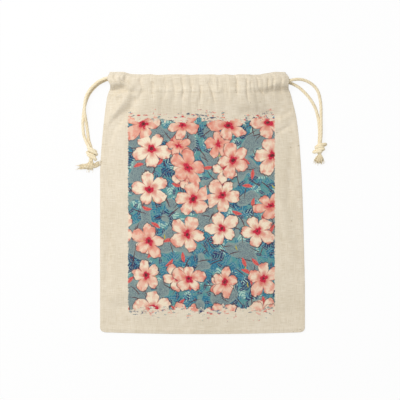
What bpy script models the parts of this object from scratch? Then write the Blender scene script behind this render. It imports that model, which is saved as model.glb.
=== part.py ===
"""Drawstring bread bag of natural cotton canvas, lying flat on its back panel.

Metres, +Z up. The mouth points along +Y and the printed front panel faces up. The origin is under the middle
of the bag. Each panel is one sheet of cloth: its seam allowances are turned in at the sides and the bottom,
and its top is folded in and sewn down as a casing. Two cords run through both casings, and each comes out
at one side, where its ends are tied in a knot with frayed tails.
"""

import math

import bmesh
import bpy
from mathutils import Vector

# The sewn bag, from the top fold to the bottom fold and from side fold to side fold
BAG_WIDTH = 0.297
BAG_HEIGHT = 0.380

# Cloth and sewing
CLOTH = 0.0006
CLEARANCE = 0.0003
SEAM_ALLOWANCE = 0.010
CASING_DEPTH = 0.027
HEM_PAST_STITCH = 0.003
CORNER_RADIUS = 0.006

# Cords
CORD_DIAMETER = 0.0045
CORD_BELOW_TOP = 0.009
CORD_SPACE = 0.0011
CHANNEL_SLACK = 0.0004

# How full the empty bag lies
MOUTH_GAP = 0.0055
MOUTH_END_GAP = 0.0006
MOUTH_TAPER = 0.070
MOUTH_SEAM_LIFT = 0.0030
PUFF = 0.0105
PUFF_RISE_SIDE = 0.060
PUFF_RISE_BOTTOM = 0.075
NECK_LENGTH = 0.063
NECK_SIDE_SHARE = 0.25

# How the gathered mouth draws in the side edges: (distance below the top, pull)
LEFT_PULL = (
    (0.000, 0.0135), (0.010, 0.0100), (0.020, 0.0145), (0.038, 0.0100),
    (0.070, 0.0058), (0.110, 0.0020), (0.150, 0.0000),
)
RIGHT_PULL = (
    (0.000, 0.0275), (0.010, 0.0225), (0.020, 0.0235), (0.038, 0.0190), (0.070, 0.0118),
    (0.110, 0.0075), (0.180, 0.0035), (0.270, 0.0010), (0.320, 0.0000),
)
# How far the top fold dips between the two ears: (share across, dip)
TOP_DIP = (
    (0.00, 0.0000), (0.07, 0.0000), (0.12, 0.0028), (0.30, 0.0042),
    (0.70, 0.0042), (0.88, 0.0028), (0.93, 0.0000), (1.00, 0.0000),
)
DIP_FADE = 0.110
BOTTOM_BOW = 0.0025

# Print on the front panel: a field of colour between two creases, with blossoms scattered on it
PRINT_LEFT = 0.134
PRINT_RIGHT = 0.856
PRINT_BELOW_CASING = 0.035
PRINT_ABOVE_BOTTOM = 0.035
BLOSSOM_SPACING = 0.038

# Creases of the gathers: (share across, height of the cloth between this crease and the next)
FRONT_CREASES = (
    (0.000, 0.0004), (0.045, 0.0010), (PRINT_LEFT, 0.0016), (0.188, 0.0015), (0.237, 0.0022), (0.300, 0.0015),
    (0.355, 0.0014), (0.409, 0.0022), (0.455, 0.0016), (0.504, 0.0022), (0.577, 0.0020), (0.640, 0.0016),
    (0.710, 0.0018), (0.766, 0.0021), (0.812, 0.0016), (PRINT_RIGHT, 0.0018), (0.955, 0.0006), (1.000, 0.0000),
)
BACK_CREASES = (
    (0.000, 0.0003), (0.045, 0.0009), (0.130, 0.0012), (0.210, 0.0010), (0.300, 0.0012), (0.380, 0.0009),
    (0.470, 0.0012), (0.550, 0.0011), (0.640, 0.0012), (0.720, 0.0010), (0.810, 0.0012), (0.880, 0.0009),
    (0.955, 0.0003), (1.000, 0.0000),
)
CREASE_FADE = 0.050
# Soft drag folds below the casing: start and end as (share across, distance below the top), depth, half width
DRAG_FOLDS = (
    ((0.026, 0.037), (0.067, 0.031), 0.0016, 0.0035),
    ((0.155, 0.030), (0.131, 0.049), 0.0017, 0.0060),
    ((0.131, 0.049), (0.060, 0.070), 0.0016, 0.0070),
    ((0.497, 0.030), (0.492, 0.049), 0.0014, 0.0040),
    ((0.555, 0.030), (0.545, 0.041), 0.0012, 0.0040),
    ((0.780, 0.054), (0.900, 0.062), 0.0018, 0.0090),
    ((0.901, 0.087), (0.985, 0.076), 0.0010, 0.0045),
)

# Rows of faces below the casing: distances below its stitches, and how many follow down to the seam allowance
FRONT_NECK_ROWS = (0.005, 0.013, 0.023, PRINT_BELOW_CASING, 0.068)
FRONT_BODY_ROWS = 8
BACK_NECK_ROWS = (0.005, 0.018, 0.043)
BACK_BODY_ROWS = 5
TOP_ROW = 0.0008
TOP_ROUNDNESS = 0.8
CORNER_STEP = 0.0025
SHARP_ANGLE = math.radians(60)

# Route of each cord, from its knot up into the front casing, round the far side and back to its knot
LEFT_CORD_ROUTE = (
    (-0.1618, 0.0818, 0.0030), (-0.1646, 0.0905, 0.0024), (-0.1665, 0.1037, 0.0024), (-0.1680, 0.1150, 0.0032),
    (-0.1696, 0.1250, 0.0066), (-0.1708, 0.1345, 0.0074), (-0.1690, 0.1510, 0.0073), (-0.1630, 0.1635, 0.0078),
    (-0.1530, 0.1735, 0.0098), (-0.1420, 0.1793, 0.0122), (-0.1300, 0.1807, 0.0130), (-0.1100, 0.1787, 0.0143),
    (-0.0900, 0.1772, 0.0164), (-0.0700, 0.1767, 0.0176), (-0.0300, 0.1765, 0.0177), (0.0200, 0.1765, 0.0177),
    (0.0600, 0.1766, 0.0176), (0.0800, 0.1773, 0.0164), (0.1000, 0.1792, 0.0142), (0.1120, 0.1806, 0.0133),
    (0.1185, 0.1808, 0.0122), (0.1210, 0.1808, 0.0088), (0.1185, 0.1808, 0.0054), (0.1100, 0.1805, 0.0045),
    (0.0900, 0.1780, 0.0045), (0.0600, 0.1766, 0.0045), (0.0000, 0.1765, 0.0045), (-0.0600, 0.1766, 0.0045),
    (-0.0900, 0.1772, 0.0045), (-0.1150, 0.1793, 0.0045), (-0.1320, 0.1801, 0.0045), (-0.1415, 0.1774, 0.0043),
    (-0.1530, 0.1706, 0.0028), (-0.1635, 0.1588, 0.0024), (-0.1695, 0.1450, 0.0024), (-0.1722, 0.1300, 0.0024),
    (-0.1733, 0.1150, 0.0024), (-0.1722, 0.1000, 0.0024), (-0.1680, 0.0880, 0.0040), (-0.1643, 0.0815, 0.0076),
)
RIGHT_CORD_ROUTE = (
    (0.1706, 0.0876, 0.0078), (0.1716, 0.1000, 0.0070), (0.1717, 0.1130, 0.0062), (0.1717, 0.1260, 0.0040),
    (0.1716, 0.1400, 0.0025), (0.1702, 0.1510, 0.0024), (0.1675, 0.1610, 0.0025), (0.1620, 0.1690, 0.0034),
    (0.1535, 0.1752, 0.0056), (0.1440, 0.1784, 0.0086), (0.1350, 0.1786, 0.0112), (0.1250, 0.1768, 0.0127),
    (0.1100, 0.1750, 0.0135), (0.0900, 0.1724, 0.0154), (0.0700, 0.1716, 0.0172), (0.0300, 0.1711, 0.0177),
    (-0.0200, 0.1711, 0.0177), (-0.0700, 0.1713, 0.0176), (-0.0950, 0.1721, 0.0157), (-0.1150, 0.1742, 0.0137),
    (-0.1250, 0.1751, 0.0130), (-0.1305, 0.1752, 0.0120), (-0.1330, 0.1752, 0.0088), (-0.1305, 0.1752, 0.0055),
    (-0.1220, 0.1748, 0.0045), (-0.1000, 0.1724, 0.0045), (-0.0600, 0.1712, 0.0045), (0.0000, 0.1711, 0.0045),
    (0.0600, 0.1713, 0.0045), (0.0900, 0.1724, 0.0045), (0.1100, 0.1746, 0.0045), (0.1240, 0.1742, 0.0044),
    (0.1330, 0.1712, 0.0036), (0.1420, 0.1655, 0.0025), (0.1530, 0.1545, 0.0024), (0.1616, 0.1415, 0.0024),
    (0.1662, 0.1290, 0.0024), (0.1686, 0.1160, 0.0024), (0.1696, 0.1010, 0.0024), (0.1690, 0.0876, 0.0030),
)
CORD_POINTS = 60
CORD_BEVEL_SEGMENTS = 2
STEPS_BETWEEN_STOPS = 24

# Knots, each wrapped round its own axis: (centre, turn about Z, length, width, height)
LEFT_KNOT = ((-0.1600, 0.0705, 0.0056), 8.0, 0.0210, 0.0165, 0.0108)
RIGHT_KNOT = ((0.1697, 0.0795, 0.0054), -4.0, 0.0155, 0.0190, 0.0104)
KNOT_RINGS = 13
KNOT_SIDES = 16
KNOT_WRAPS = 3
KNOT_GROOVE = 0.10
KNOT_END = 0.06
KNOT_ROUNDNESS = 0.7
# Frayed tails below each knot: (start, end, start radius, end half width, end half height)
LEFT_TAILS = (
    ((-0.1618, 0.0640, 0.0045), (-0.1625, 0.0460, 0.0022), 0.0026, 0.0048, 0.0019),
    ((-0.1622, 0.0560, 0.0034), (-0.1790, 0.0508, 0.0024), 0.0024, 0.0044, 0.0021),
    ((-0.1622, 0.0560, 0.0034), (-0.1488, 0.0566, 0.0024), 0.0024, 0.0036, 0.0021),
)
RIGHT_TAILS = (
    ((0.1695, 0.0760, 0.0046), (0.1680, 0.0575, 0.0024), 0.0030, 0.0066, 0.0021),
)
TAIL_RINGS = 5
TAIL_SIDES = 8

# Colours, as linear red, green and blue
CANVAS = (0.74, 0.66, 0.52)
PRINT_GROUND = (0.13, 0.26, 0.32)
PETAL_PEACH = (0.80, 0.46, 0.36)
PETAL_CREAM = (0.84, 0.70, 0.58)
BLOSSOM_HEART = (0.55, 0.01, 0.05)
CORD_CREAM = (0.84, 0.73, 0.52)
KNOT_CREAM = (0.80, 0.68, 0.47)

FOLD_RADIUS = (CLOTH + CLEARANCE) / 2
FOLD_REACH = FOLD_RADIUS + CLOTH / 2 * math.sqrt(2)
TIP_REACH = CLOTH * 0.75
LAYER = CLOTH + CLEARANCE
CHANNEL = CORD_DIAMETER + 2 * CLEARANCE + CHANNEL_SLACK
CHANNEL_START = CORD_BELOW_TOP - CORD_DIAMETER / 2
CHANNEL_END = CHANNEL_START + 2 * CORD_DIAMETER + CORD_SPACE
INNER_WAVE = 0.35
FRONT_HUMP = max(height for _, height in FRONT_CREASES)
BACK_HUMP = max(height for _, height in BACK_CREASES)
FRONT_SEAM_HEIGHT = 3 * LAYER + CLOTH / 2


def smooth_step(value):
    """0 up to 0 and 1 from 1, with a smooth rise between."""
    value = min(max(value, 0.0), 1.0)
    return value * value * (3 - 2 * value)


def through(points, at):
    """A smooth curve through (place, value) pairs, read at one place."""
    if at <= points[0][0]:
        return points[0][1]
    if at >= points[-1][0]:
        return points[-1][1]
    after = next(i for i, point in enumerate(points) if point[0] > at)
    (x0, y0), (x1, y1) = points[after - 1], points[after]

    def slope(i):
        if i in (0, len(points) - 1):
            return 0.0
        (xa, ya), (xb, yb), (xc, yc) = points[i - 1], points[i], points[i + 1]
        rise_in, rise_out = (yb - ya) / (xb - xa), (yc - yb) / (xc - xb)
        if rise_in * rise_out <= 0:
            return 0.0
        return 2 * rise_in * rise_out / (rise_in + rise_out)

    span = x1 - x0
    u = (at - x0) / span
    return (
        (2 * u**3 - 3 * u**2 + 1) * y0
        + (u**3 - 2 * u**2 + u) * span * slope(after - 1)
        + (3 * u**2 - 2 * u**3) * y1
        + (u**3 - u**2) * span * slope(after)
    )


def side_edges(below):
    """The left and right edge of the cloth at a distance below the top."""
    half = BAG_WIDTH / 2 - FOLD_REACH
    above_bottom = BAG_HEIGHT - below
    corner = 0.0
    if above_bottom < CORNER_RADIUS:
        corner = CORNER_RADIUS - math.sqrt(CORNER_RADIUS**2 - (CORNER_RADIUS - above_bottom) ** 2)
    return -half + through(LEFT_PULL, below) + corner, half - through(RIGHT_PULL, below) - corner


def flat_place(share, below):
    """Where a point of the cloth lies on the ground plan."""
    left, right = side_edges(below)
    dip = through(TOP_DIP, share) * (1 - smooth_step(below / DIP_FADE))
    bow = BOTTOM_BOW * (2 * share - 1) ** 2 * smooth_step(below / BAG_HEIGHT) ** 3
    y = BAG_HEIGHT / 2 - below - dip + bow
    y -= TIP_REACH * (1 - smooth_step(below / CASING_DEPTH))
    y += FOLD_REACH * smooth_step((below - CASING_DEPTH) / (BAG_HEIGHT - CASING_DEPTH))
    return left + (right - left) * share, y


def hump(creases, share):
    """How high the gathered cloth stands between its creases, which are at zero."""
    for (start, height), (end, _) in zip(creases, creases[1:]):
        if share <= end:
            phase = (share - start) / (end - start)
            return height * 4 * phase * (1 - phase)
    return 0.0


def gather_fade(below):
    """1 on the casing, and less the further below it."""
    return 1 - smooth_step((below - CASING_DEPTH) / CREASE_FADE)


def channel_share(below):
    """0 at the top fold and the stitches, and 1 where the cords lie."""
    if below < CHANNEL_START:
        return smooth_step((below / CHANNEL_START) ** TOP_ROUNDNESS)
    return 1 - smooth_step((below - CHANNEL_END) / (CASING_DEPTH - CHANNEL_END))


def drag_fold_depth(share, below):
    """How far the soft folds below the casing push the cloth in."""
    depth = 0.0
    for start, end, deep, half_width in DRAG_FOLDS:
        first = Vector((start[0] * BAG_WIDTH, start[1]))
        along = Vector((end[0] * BAG_WIDTH, end[1])) - first
        place = Vector((share * BAG_WIDTH, below)) - first
        reached = min(max(place.dot(along) / along.length_squared, 0.0), 1.0)
        away = (place - along * reached).length / half_width
        depth += deep * math.exp(-away * away)
    return depth


def back_outer_height(share, x, below):
    left, right = side_edges(below)
    inside = smooth_step((min(x - left, right - x) - SEAM_ALLOWANCE) / SEAM_ALLOWANCE)
    below_casing = smooth_step((below - CASING_DEPTH) / HEM_PAST_STITCH)
    rise = (BACK_HUMP - hump(BACK_CREASES, share)) * gather_fade(below)
    return CLOTH / 2 + rise * (1 - below_casing * (1 - inside))


def back_lift(below):
    """From the back panel's outer layer to the inner layer of its casing."""
    full = BACK_HUMP + CLOTH + CHANNEL
    return LAYER + (full - LAYER) * channel_share(below)


def wave_share(below):
    """How much of the outer layer's gathers the casing's inner layer takes up."""
    return 1 - (1 - INNER_WAVE) * channel_share(below)


def back_inner_height(share, x, below):
    rise = (BACK_HUMP - hump(BACK_CREASES, share)) * wave_share(below)
    return CLOTH / 2 + rise + back_lift(below)


def back_top(below):
    """The highest that the back casing reaches."""
    return CLOTH + BACK_HUMP * wave_share(below) + back_lift(below)


def front_inner_base(x, below):
    """The front casing's inner layer: close to the back at the ears, and well above it between them."""
    left, right = side_edges(below)
    opened = smooth_step(min(x - left, right - x) / MOUTH_TAPER)
    closed = back_top(below) + MOUTH_END_GAP
    wide = back_top(CHANNEL_START) + MOUTH_GAP + MOUTH_SEAM_LIFT * (1 - channel_share(below))
    return closed + (wide - closed) * opened + CLOTH / 2


def front_inner_height(share, x, below):
    return front_inner_base(x, below) + hump(FRONT_CREASES, share) * wave_share(below)


def front_lift(below):
    """From the inner layer of the front casing to its outer layer."""
    full = FRONT_HUMP * INNER_WAVE + CLOTH + CHANNEL
    return LAYER + (full - LAYER) * channel_share(below)


def front_rest_height(x, below):
    """The front panel without gathers and folds: its casing, and a low dome that comes down to the seams."""
    left, right = side_edges(below)
    inward = min(x - left, right - x)
    side_rise = math.sin(math.pi / 2 * min(max(inward / PUFF_RISE_SIDE, 0), 1))
    bottom_rise = math.sin(math.pi / 2 * min((BAG_HEIGHT - below) / PUFF_RISE_BOTTOM, 1))
    dome = FRONT_SEAM_HEIGHT + PUFF * side_rise * bottom_rise
    casing = front_inner_base(x, below) + front_lift(below)
    neck = NECK_LENGTH * (NECK_SIDE_SHARE + (1 - NECK_SIDE_SHARE) * smooth_step(inward / MOUTH_TAPER))
    return dome + (casing - dome) * (1 - smooth_step((below - CASING_DEPTH) / neck))


def front_outer_height(share, x, below):
    """The front panel as it lies, with its gathers and the soft folds below the casing."""
    left, right = side_edges(below)
    height = front_rest_height(x, below) + hump(FRONT_CREASES, share) * gather_fade(below)
    past_hem = smooth_step((below - CASING_DEPTH - HEM_PAST_STITCH) / SEAM_ALLOWANCE)
    lowest = front_rest_height(left if x < (left + right) / 2 else right, below)
    return max(height - drag_fold_depth(share, below) * past_hem, min(height, lowest + FOLD_RADIUS))


def panel_columns(creases, steps):
    """Shares across the cloth: each crease, and the steps to the next one."""
    shares = []
    for (start, _), (end, _) in zip(creases, creases[1:]):
        shares += [start + (end - start) * k / steps for k in range(steps)]
    return shares + [1.0]


def casing_rows():
    """Distances below the top fold: round the fold, over the cords and down to the stitches."""
    rise = [TOP_ROW, (TOP_ROW + CHANNEL_START) / 2]
    level = [CHANNEL_START, (CHANNEL_START + CHANNEL_END) / 2, CHANNEL_END]
    return [*rise, *level, (CHANNEL_END + CASING_DEPTH) / 2]


def body_rows(first, count, also=()):
    """Distances below the top, from the last row of the neck down to the top of the bottom allowance."""
    last = BAG_HEIGHT - SEAM_ALLOWANCE - 2 * FOLD_REACH
    even = [first + (last - first) * (k + 1) / count for k in range(count)]
    return sorted([*even, *also])


def panel_sheet(creases, steps, neck, body, outer, inner, turn):
    """The middle surface of one panel: hem, casing, body and turned-in seam allowances.

    turn is -1 where the allowances lie under the outer layer, and 1 where they lie on it.
    """
    shares = panel_columns(creases, steps)
    last = len(shares) - 1
    mesh = bmesh.new()
    points = {}

    def put(row, column, x, y, z):
        points[row, column] = mesh.verts.new((x, y, z))

    def layer_row(row, below, columns, height):
        for column in columns:
            x, y = flat_place(shares[column], below)
            put(row, column, x, y, height(shares[column], x, below))

    every = range(last + 1)
    between_ends = range(steps, last + 1 - steps)
    coarse = range(0, last + 1, steps)
    casing = casing_rows()
    hem_rows = [CASING_DEPTH + HEM_PAST_STITCH, CASING_DEPTH, *reversed(casing)]
    for row, below in enumerate(hem_rows):
        layer_row(row, below, between_ends, inner)
    tip = len(hem_rows)
    for column in every:
        x, y = flat_place(shares[column], 0.0)
        z = (outer(shares[column], x, TOP_ROW) + inner(shares[column], x, TOP_ROW)) / 2
        put(tip, column, x, y, z)
    fine_rows = [*casing, CASING_DEPTH, *neck]
    for row, below in enumerate(fine_rows):
        layer_row(tip + 1 + row, below, every, outer)
    coarse_start = tip + 1 + len(fine_rows)
    low_rows = [*body, BAG_HEIGHT - CORNER_RADIUS, BAG_HEIGHT - CORNER_STEP, BAG_HEIGHT]
    for row, below in enumerate(low_rows):
        layer_row(coarse_start + row, below, coarse, outer)
    bottom = coarse_start + len(low_rows) - 1
    seam_top = tip + 1 + len(casing) + 1

    def add_flap(row, column, names, outward, inward):
        x, y, z = points[row, column].co
        folded = z + turn * 2 * FOLD_RADIUS
        put(row, names[0], *(outward * FOLD_RADIUS + Vector((x, y, z + turn * FOLD_RADIUS))))
        if inward:
            put(row, names[1], x, y, folded)
            put(row, names[2], *(Vector((x, y, folded)) - outward * inward))

    for row in range(seam_top, bottom + 1):
        flap = SEAM_ALLOWANCE if row < bottom - 2 else 0.0
        add_flap(row, 0, (-1, -2, -3), Vector((-1, 0, 0)), flap)
        add_flap(row, last, (last + 1, last + 2, last + 3), Vector((1, 0, 0)), flap)
    for column in coarse:
        x, y, z = points[bottom, column].co
        folded = z + turn * 2 * FOLD_RADIUS
        put(bottom + 1, column, x, y - FOLD_RADIUS, z + turn * FOLD_RADIUS)
        if 0 < column < last:
            put(bottom + 2, column, x, y, folded)
            put(bottom + 3, column, x, y + SEAM_ALLOWANCE, folded)

    def cell(*keys):
        if all(key in points for key in keys):
            mesh.faces.new([points[key] for key in keys])

    for row in range(coarse_start - 1):
        for column in range(last):
            cell((row, column), (row, column + 1), (row + 1, column + 1), (row + 1, column))
    for column in range(0, last, steps):
        middle = column + (steps + 1) // 2
        low_left, low_right = (coarse_start, column), (coarse_start, column + steps)
        high = coarse_start - 1
        for k in range(column, middle):
            cell(low_left, (high, k), (high, k + 1))
        cell(low_left, (high, middle), low_right)
        for k in range(middle, column + steps):
            cell(low_right, (high, k), (high, k + 1))
    for row in range(coarse_start, bottom + 3):
        for column in range(0, last, steps):
            cell((row, column), (row, column + steps), (row + 1, column + steps), (row + 1, column))
    for row in range(seam_top, bottom):
        for step in range(3):
            for a, b in ((-step, -step - 1), (last + step, last + step + 1)):
                cell((row, a), (row, b), (row + 1, b), (row + 1, a))
    cell((bottom, 0), (bottom, -1), (bottom + 1, 0))
    cell((bottom, last), (bottom, last + 1), (bottom + 1, last))
    bmesh.ops.recalc_face_normals(mesh, faces=mesh.faces)
    return mesh


def material(name, colour, roughness=0.9):
    made = bpy.data.materials.new(name)
    made.use_nodes = True
    shader = made.node_tree.nodes["Principled BSDF"]
    shader.inputs["Base Color"].default_value = (*colour, 1)
    shader.inputs["Roughness"].default_value = roughness
    shader.inputs["Metallic"].default_value = 0.0
    return made


def add_object(name, data, look):
    made = bpy.data.objects.new(name, data)
    bpy.context.scene.collection.objects.link(made)
    data.materials.append(look)
    return made


def add_panel(name, sheet, look):
    """A panel's object: the middle surface, given the thickness of the cloth."""
    data = bpy.data.meshes.new(name)
    sheet.to_mesh(data)
    sheet.free()
    panel = add_object(name, data, look)
    data.shade_smooth()
    data.set_sharp_from_angle(angle=SHARP_ANGLE)
    wall = panel.modifiers.new("cloth", "SOLIDIFY")
    wall.thickness = CLOTH
    wall.offset = 0.0
    wall.use_even_offset = True
    wall.use_quality_normals = True
    return panel


def print_material():
    """Print ink on the canvas: a blue-grey field with round blossoms, cream to peach with a crimson heart."""
    made = material("printed_field", PRINT_GROUND)
    nodes, links = made.node_tree.nodes, made.node_tree.links
    place = nodes.new("ShaderNodeTexCoord")
    scatter = nodes.new("ShaderNodeTexVoronoi")
    scatter.voronoi_dimensions = "2D"
    scatter.inputs["Scale"].default_value = 1 / BLOSSOM_SPACING
    colours = nodes.new("ShaderNodeValToRGB")
    colours.color_ramp.interpolation = "CONSTANT"
    stops = ((0.0, BLOSSOM_HEART), (0.09, PETAL_PEACH), (0.20, PETAL_CREAM), (0.36, PRINT_GROUND))
    for _ in stops[2:]:
        colours.color_ramp.elements.new(1.0)
    for stop, (at, colour) in zip(colours.color_ramp.elements, stops):
        stop.position = at
        stop.color = (*colour, 1)
    links.new(place.outputs["Object"], scatter.inputs["Vector"])
    links.new(scatter.outputs["Distance"], colours.inputs["Fac"])
    links.new(colours.outputs["Color"], nodes["Principled BSDF"].inputs["Base Color"])
    return made


def front_panel():
    neck = [CASING_DEPTH + down for down in FRONT_NECK_ROWS]
    body = body_rows(neck[-1], FRONT_BODY_ROWS, [BAG_HEIGHT - PRINT_ABOVE_BOTTOM])
    sheet = panel_sheet(FRONT_CREASES, 3, neck, body, front_outer_height, front_inner_height, -1)
    panel = add_panel("front_panel", sheet, material("natural_cotton_canvas_front", CANVAS))
    panel.data.materials.append(print_material())
    top = BAG_HEIGHT / 2 - CASING_DEPTH - PRINT_BELOW_CASING
    bottom = PRINT_ABOVE_BOTTOM - BAG_HEIGHT / 2
    for face in panel.data.polygons:
        x, y, z = face.center
        left, right = side_edges(BAG_HEIGHT / 2 - y)
        share = (x - left) / (right - left)
        on_outside = z > FRONT_SEAM_HEIGHT + FOLD_RADIUS
        if PRINT_LEFT < share < PRINT_RIGHT and bottom < y < top and on_outside:
            face.material_index = 1
    return panel


def back_panel():
    neck = [CASING_DEPTH + down for down in BACK_NECK_ROWS]
    body = body_rows(neck[-1], BACK_BODY_ROWS)
    sheet = panel_sheet(BACK_CREASES, 2, neck, body, back_outer_height, back_inner_height, 1)
    return add_panel("back_panel", sheet, material("natural_cotton_canvas_back", CANVAS))


def curve_through(route, count):
    """Points evenly spaced along one smooth curve through a route's own points."""
    stops = [Vector(point) for point in route]
    ends = [2 * stops[0] - stops[1], *stops, 2 * stops[-1] - stops[-2]]
    fine = []
    for a, b, c, d in zip(ends, ends[1:], ends[2:], ends[3:]):
        for k in range(STEPS_BETWEEN_STOPS):
            u = k / STEPS_BETWEEN_STOPS
            bend = (2 * a - 5 * b + 4 * c - d) * u**2 + (3 * b - a - 3 * c + d) * u**3
            fine.append(b + ((c - a) * u + bend) / 2)
    fine.append(stops[-1])
    reached = [0.0]
    for a, b in zip(fine, fine[1:]):
        reached.append(reached[-1] + (b - a).length)
    even, k = [], 0
    for i in range(count):
        want = reached[-1] * i / (count - 1)
        while k < len(fine) - 2 and reached[k + 1] < want:
            k += 1
        part = (want - reached[k]) / (reached[k + 1] - reached[k])
        even.append(fine[k].lerp(fine[k + 1], min(part, 1.0)))
    return even


def add_cord(name, route, look):
    data = bpy.data.curves.new(name, "CURVE")
    data.dimensions = "3D"
    data.bevel_depth = CORD_DIAMETER / 2
    data.bevel_resolution = CORD_BEVEL_SEGMENTS
    data.use_fill_caps = True
    line = data.splines.new("POLY")
    points = curve_through(route, CORD_POINTS)
    line.points.add(len(points) - 1)
    for point, place in zip(line.points, points):
        point.co = (*place, 1)
        point.radius = 1.0
    return add_object(name, data, look)


def loft(rings):
    """A closed mesh through rings of the same number of points."""
    mesh = bmesh.new()
    loops = [[mesh.verts.new(point) for point in ring] for ring in rings]
    count = len(loops[0])
    for low, high in zip(loops, loops[1:]):
        for k in range(count):
            mesh.faces.new((low[k], low[(k + 1) % count], high[(k + 1) % count], high[k]))
    mesh.faces.new(loops[0][::-1])
    mesh.faces.new(loops[-1])
    bmesh.ops.recalc_face_normals(mesh, faces=mesh.faces)
    data = bpy.data.meshes.new("loft")
    mesh.to_mesh(data)
    mesh.free()
    data.shade_smooth()
    return data


def knot_body(knot):
    """An oval knot with the ridges of the strands wrapped round it."""
    centre, turn, length, width, height = knot
    turned = math.radians(turn)
    along = Vector((-math.sin(turned), math.cos(turned), 0))
    across = Vector((math.cos(turned), math.sin(turned), 0))
    rings = []
    for i in range(KNOT_RINGS):
        polar = math.pi * (KNOT_END + (1 - 2 * KNOT_END) * i / (KNOT_RINGS - 1))
        ring = []
        for k in range(KNOT_SIDES):
            angle = 2 * math.pi * k / KNOT_SIDES
            wrap = math.cos(2 * math.pi * KNOT_WRAPS * i / (KNOT_RINGS - 1) + 2 * angle)
            girth = math.sin(polar) ** KNOT_ROUNDNESS * (1 - KNOT_GROOVE * (1 - wrap) / 2)
            side = across * math.cos(angle) * girth * width / 2
            rise = Vector((0, 0, 1)) * math.sin(angle) * girth * height / 2
            ring.append(Vector(centre) + along * math.cos(polar) * length / 2 + side + rise)
        rings.append(ring)
    return loft(rings)


def tail_body(tail):
    """One frayed end: a round cord that spreads into a flat tuft."""
    start, end, radius, half_width, half_height = tail
    start, end = Vector(start), Vector(end)
    across = (end - start).cross(Vector((0, 0, 1))).normalized()
    rings = []
    for i in range(TAIL_RINGS):
        share = i / (TAIL_RINGS - 1)
        wide = radius + (half_width - radius) * smooth_step(share)
        high = radius + (half_height - radius) * share
        ring = []
        for k in range(TAIL_SIDES):
            angle = 2 * math.pi * (k + 0.5) / TAIL_SIDES
            side = across * math.cos(angle) * wide
            ring.append(start.lerp(end, share) + side + Vector((0, 0, math.sin(angle) * high)))
        rings.append(ring)
    return loft(rings)


def add_knot(name, knot, tails, look):
    """The knot with its frayed tails, as one body."""
    made = add_object(name, knot_body(knot), look)
    for number, tail in enumerate(tails, 1):
        guide = add_object(f"{name}_tail_{number}", tail_body(tail), look)
        guide.hide_render = True
        guide.display_type = "WIRE"
        union = made.modifiers.new(f"tail_{number}", "BOOLEAN")
        union.operation = "UNION"
        union.solver = "EXACT"
        union.object = guide
    return made


def main():
    for old in list(bpy.data.objects):
        bpy.data.objects.remove(old, do_unlink=True)
    front_panel()
    back_panel()
    cord_look = material("cotton_cord", CORD_CREAM, 0.8)
    add_cord("left_drawcord", LEFT_CORD_ROUTE, cord_look)
    add_cord("right_drawcord", RIGHT_CORD_ROUTE, cord_look)
    knot_look = material("cotton_cord_knot", KNOT_CREAM, 0.85)
    add_knot("left_knot", LEFT_KNOT, LEFT_TAILS, knot_look)
    add_knot("right_knot", RIGHT_KNOT, RIGHT_TAILS, knot_look)


main()
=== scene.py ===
"""Drawstring bread bag of unbleached cotton canvas, lying empty on a table.

Two canvas panels are sewn together at their sides and bottom. Each has a casing at the mouth, and two cotton
drawcords run through both casings, each with its two ends knotted together at one side. Lengths are in
metres, +Z is up, the mouth points along +Y and the printed front panel faces up.
"""

import math
from functools import partial

import bmesh
import bpy
import numpy as np
from bpy.props import FloatProperty, FloatVectorProperty, PointerProperty
from mathutils import Color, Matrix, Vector


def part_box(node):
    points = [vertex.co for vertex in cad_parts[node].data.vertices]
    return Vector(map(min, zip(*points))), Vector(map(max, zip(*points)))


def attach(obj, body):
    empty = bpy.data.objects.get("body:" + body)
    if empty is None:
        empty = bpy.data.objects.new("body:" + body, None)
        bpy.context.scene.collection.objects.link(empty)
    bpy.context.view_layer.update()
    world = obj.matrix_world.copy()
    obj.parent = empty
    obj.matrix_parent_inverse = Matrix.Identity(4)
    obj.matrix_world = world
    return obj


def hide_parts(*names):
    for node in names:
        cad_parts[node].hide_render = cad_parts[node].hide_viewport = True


bl_info = {
    "name": "Drawstring Bread Bag",
    "version": (1, 0, 0),
    "blender": (4, 5, 0),
    "location": "View3D > Sidebar > Bread Bag",
    "description": "Dresses the bag's solids with canvas, print, stitching, drawcords and knots",
    "category": "Object",
}

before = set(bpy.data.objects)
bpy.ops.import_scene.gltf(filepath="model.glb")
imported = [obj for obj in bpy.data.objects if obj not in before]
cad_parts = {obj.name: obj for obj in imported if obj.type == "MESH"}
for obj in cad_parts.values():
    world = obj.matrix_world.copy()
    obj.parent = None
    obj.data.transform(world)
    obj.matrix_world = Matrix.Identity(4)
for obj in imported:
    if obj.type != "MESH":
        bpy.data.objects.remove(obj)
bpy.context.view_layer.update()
panel_low, panel_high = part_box("front_panel")

BODY = "root"
FLAT_CLOTH = "flat_cloth"
CORD_MAP = "along_and_round"
UP = (0.0, 0.0, 1.0)
MM = 1000.0
# Room under the cloth, so that its underside and the table are not one face
OFF_TABLE = 0.00004


def thousandths(*rows):
    """A table in metres and whole shares, given in millimetres and thousandths."""
    return np.array(rows) / 1000


# How the gathered mouth draws in the side edges: distance below the top, pull
LEFT_PULL = thousandths(
    (0, 13.5), (10, 10), (20, 14.5), (38, 10), (70, 5.8), (110, 2), (150, 0),
)
RIGHT_PULL = thousandths(
    (0, 27.5), (10, 22.5), (20, 23.5), (38, 19), (70, 11.8), (110, 7.5), (180, 3.5), (270, 1), (320, 0),
)
# How far the top fold dips between the two ears: share across, dip
TOP_DIP = thousandths(
    (0, 0), (70, 0), (120, 2.8), (300, 4.2), (700, 4.2), (850, 3.4), (900, 2), (945, 0), (1000, 0.3),
)
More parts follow.
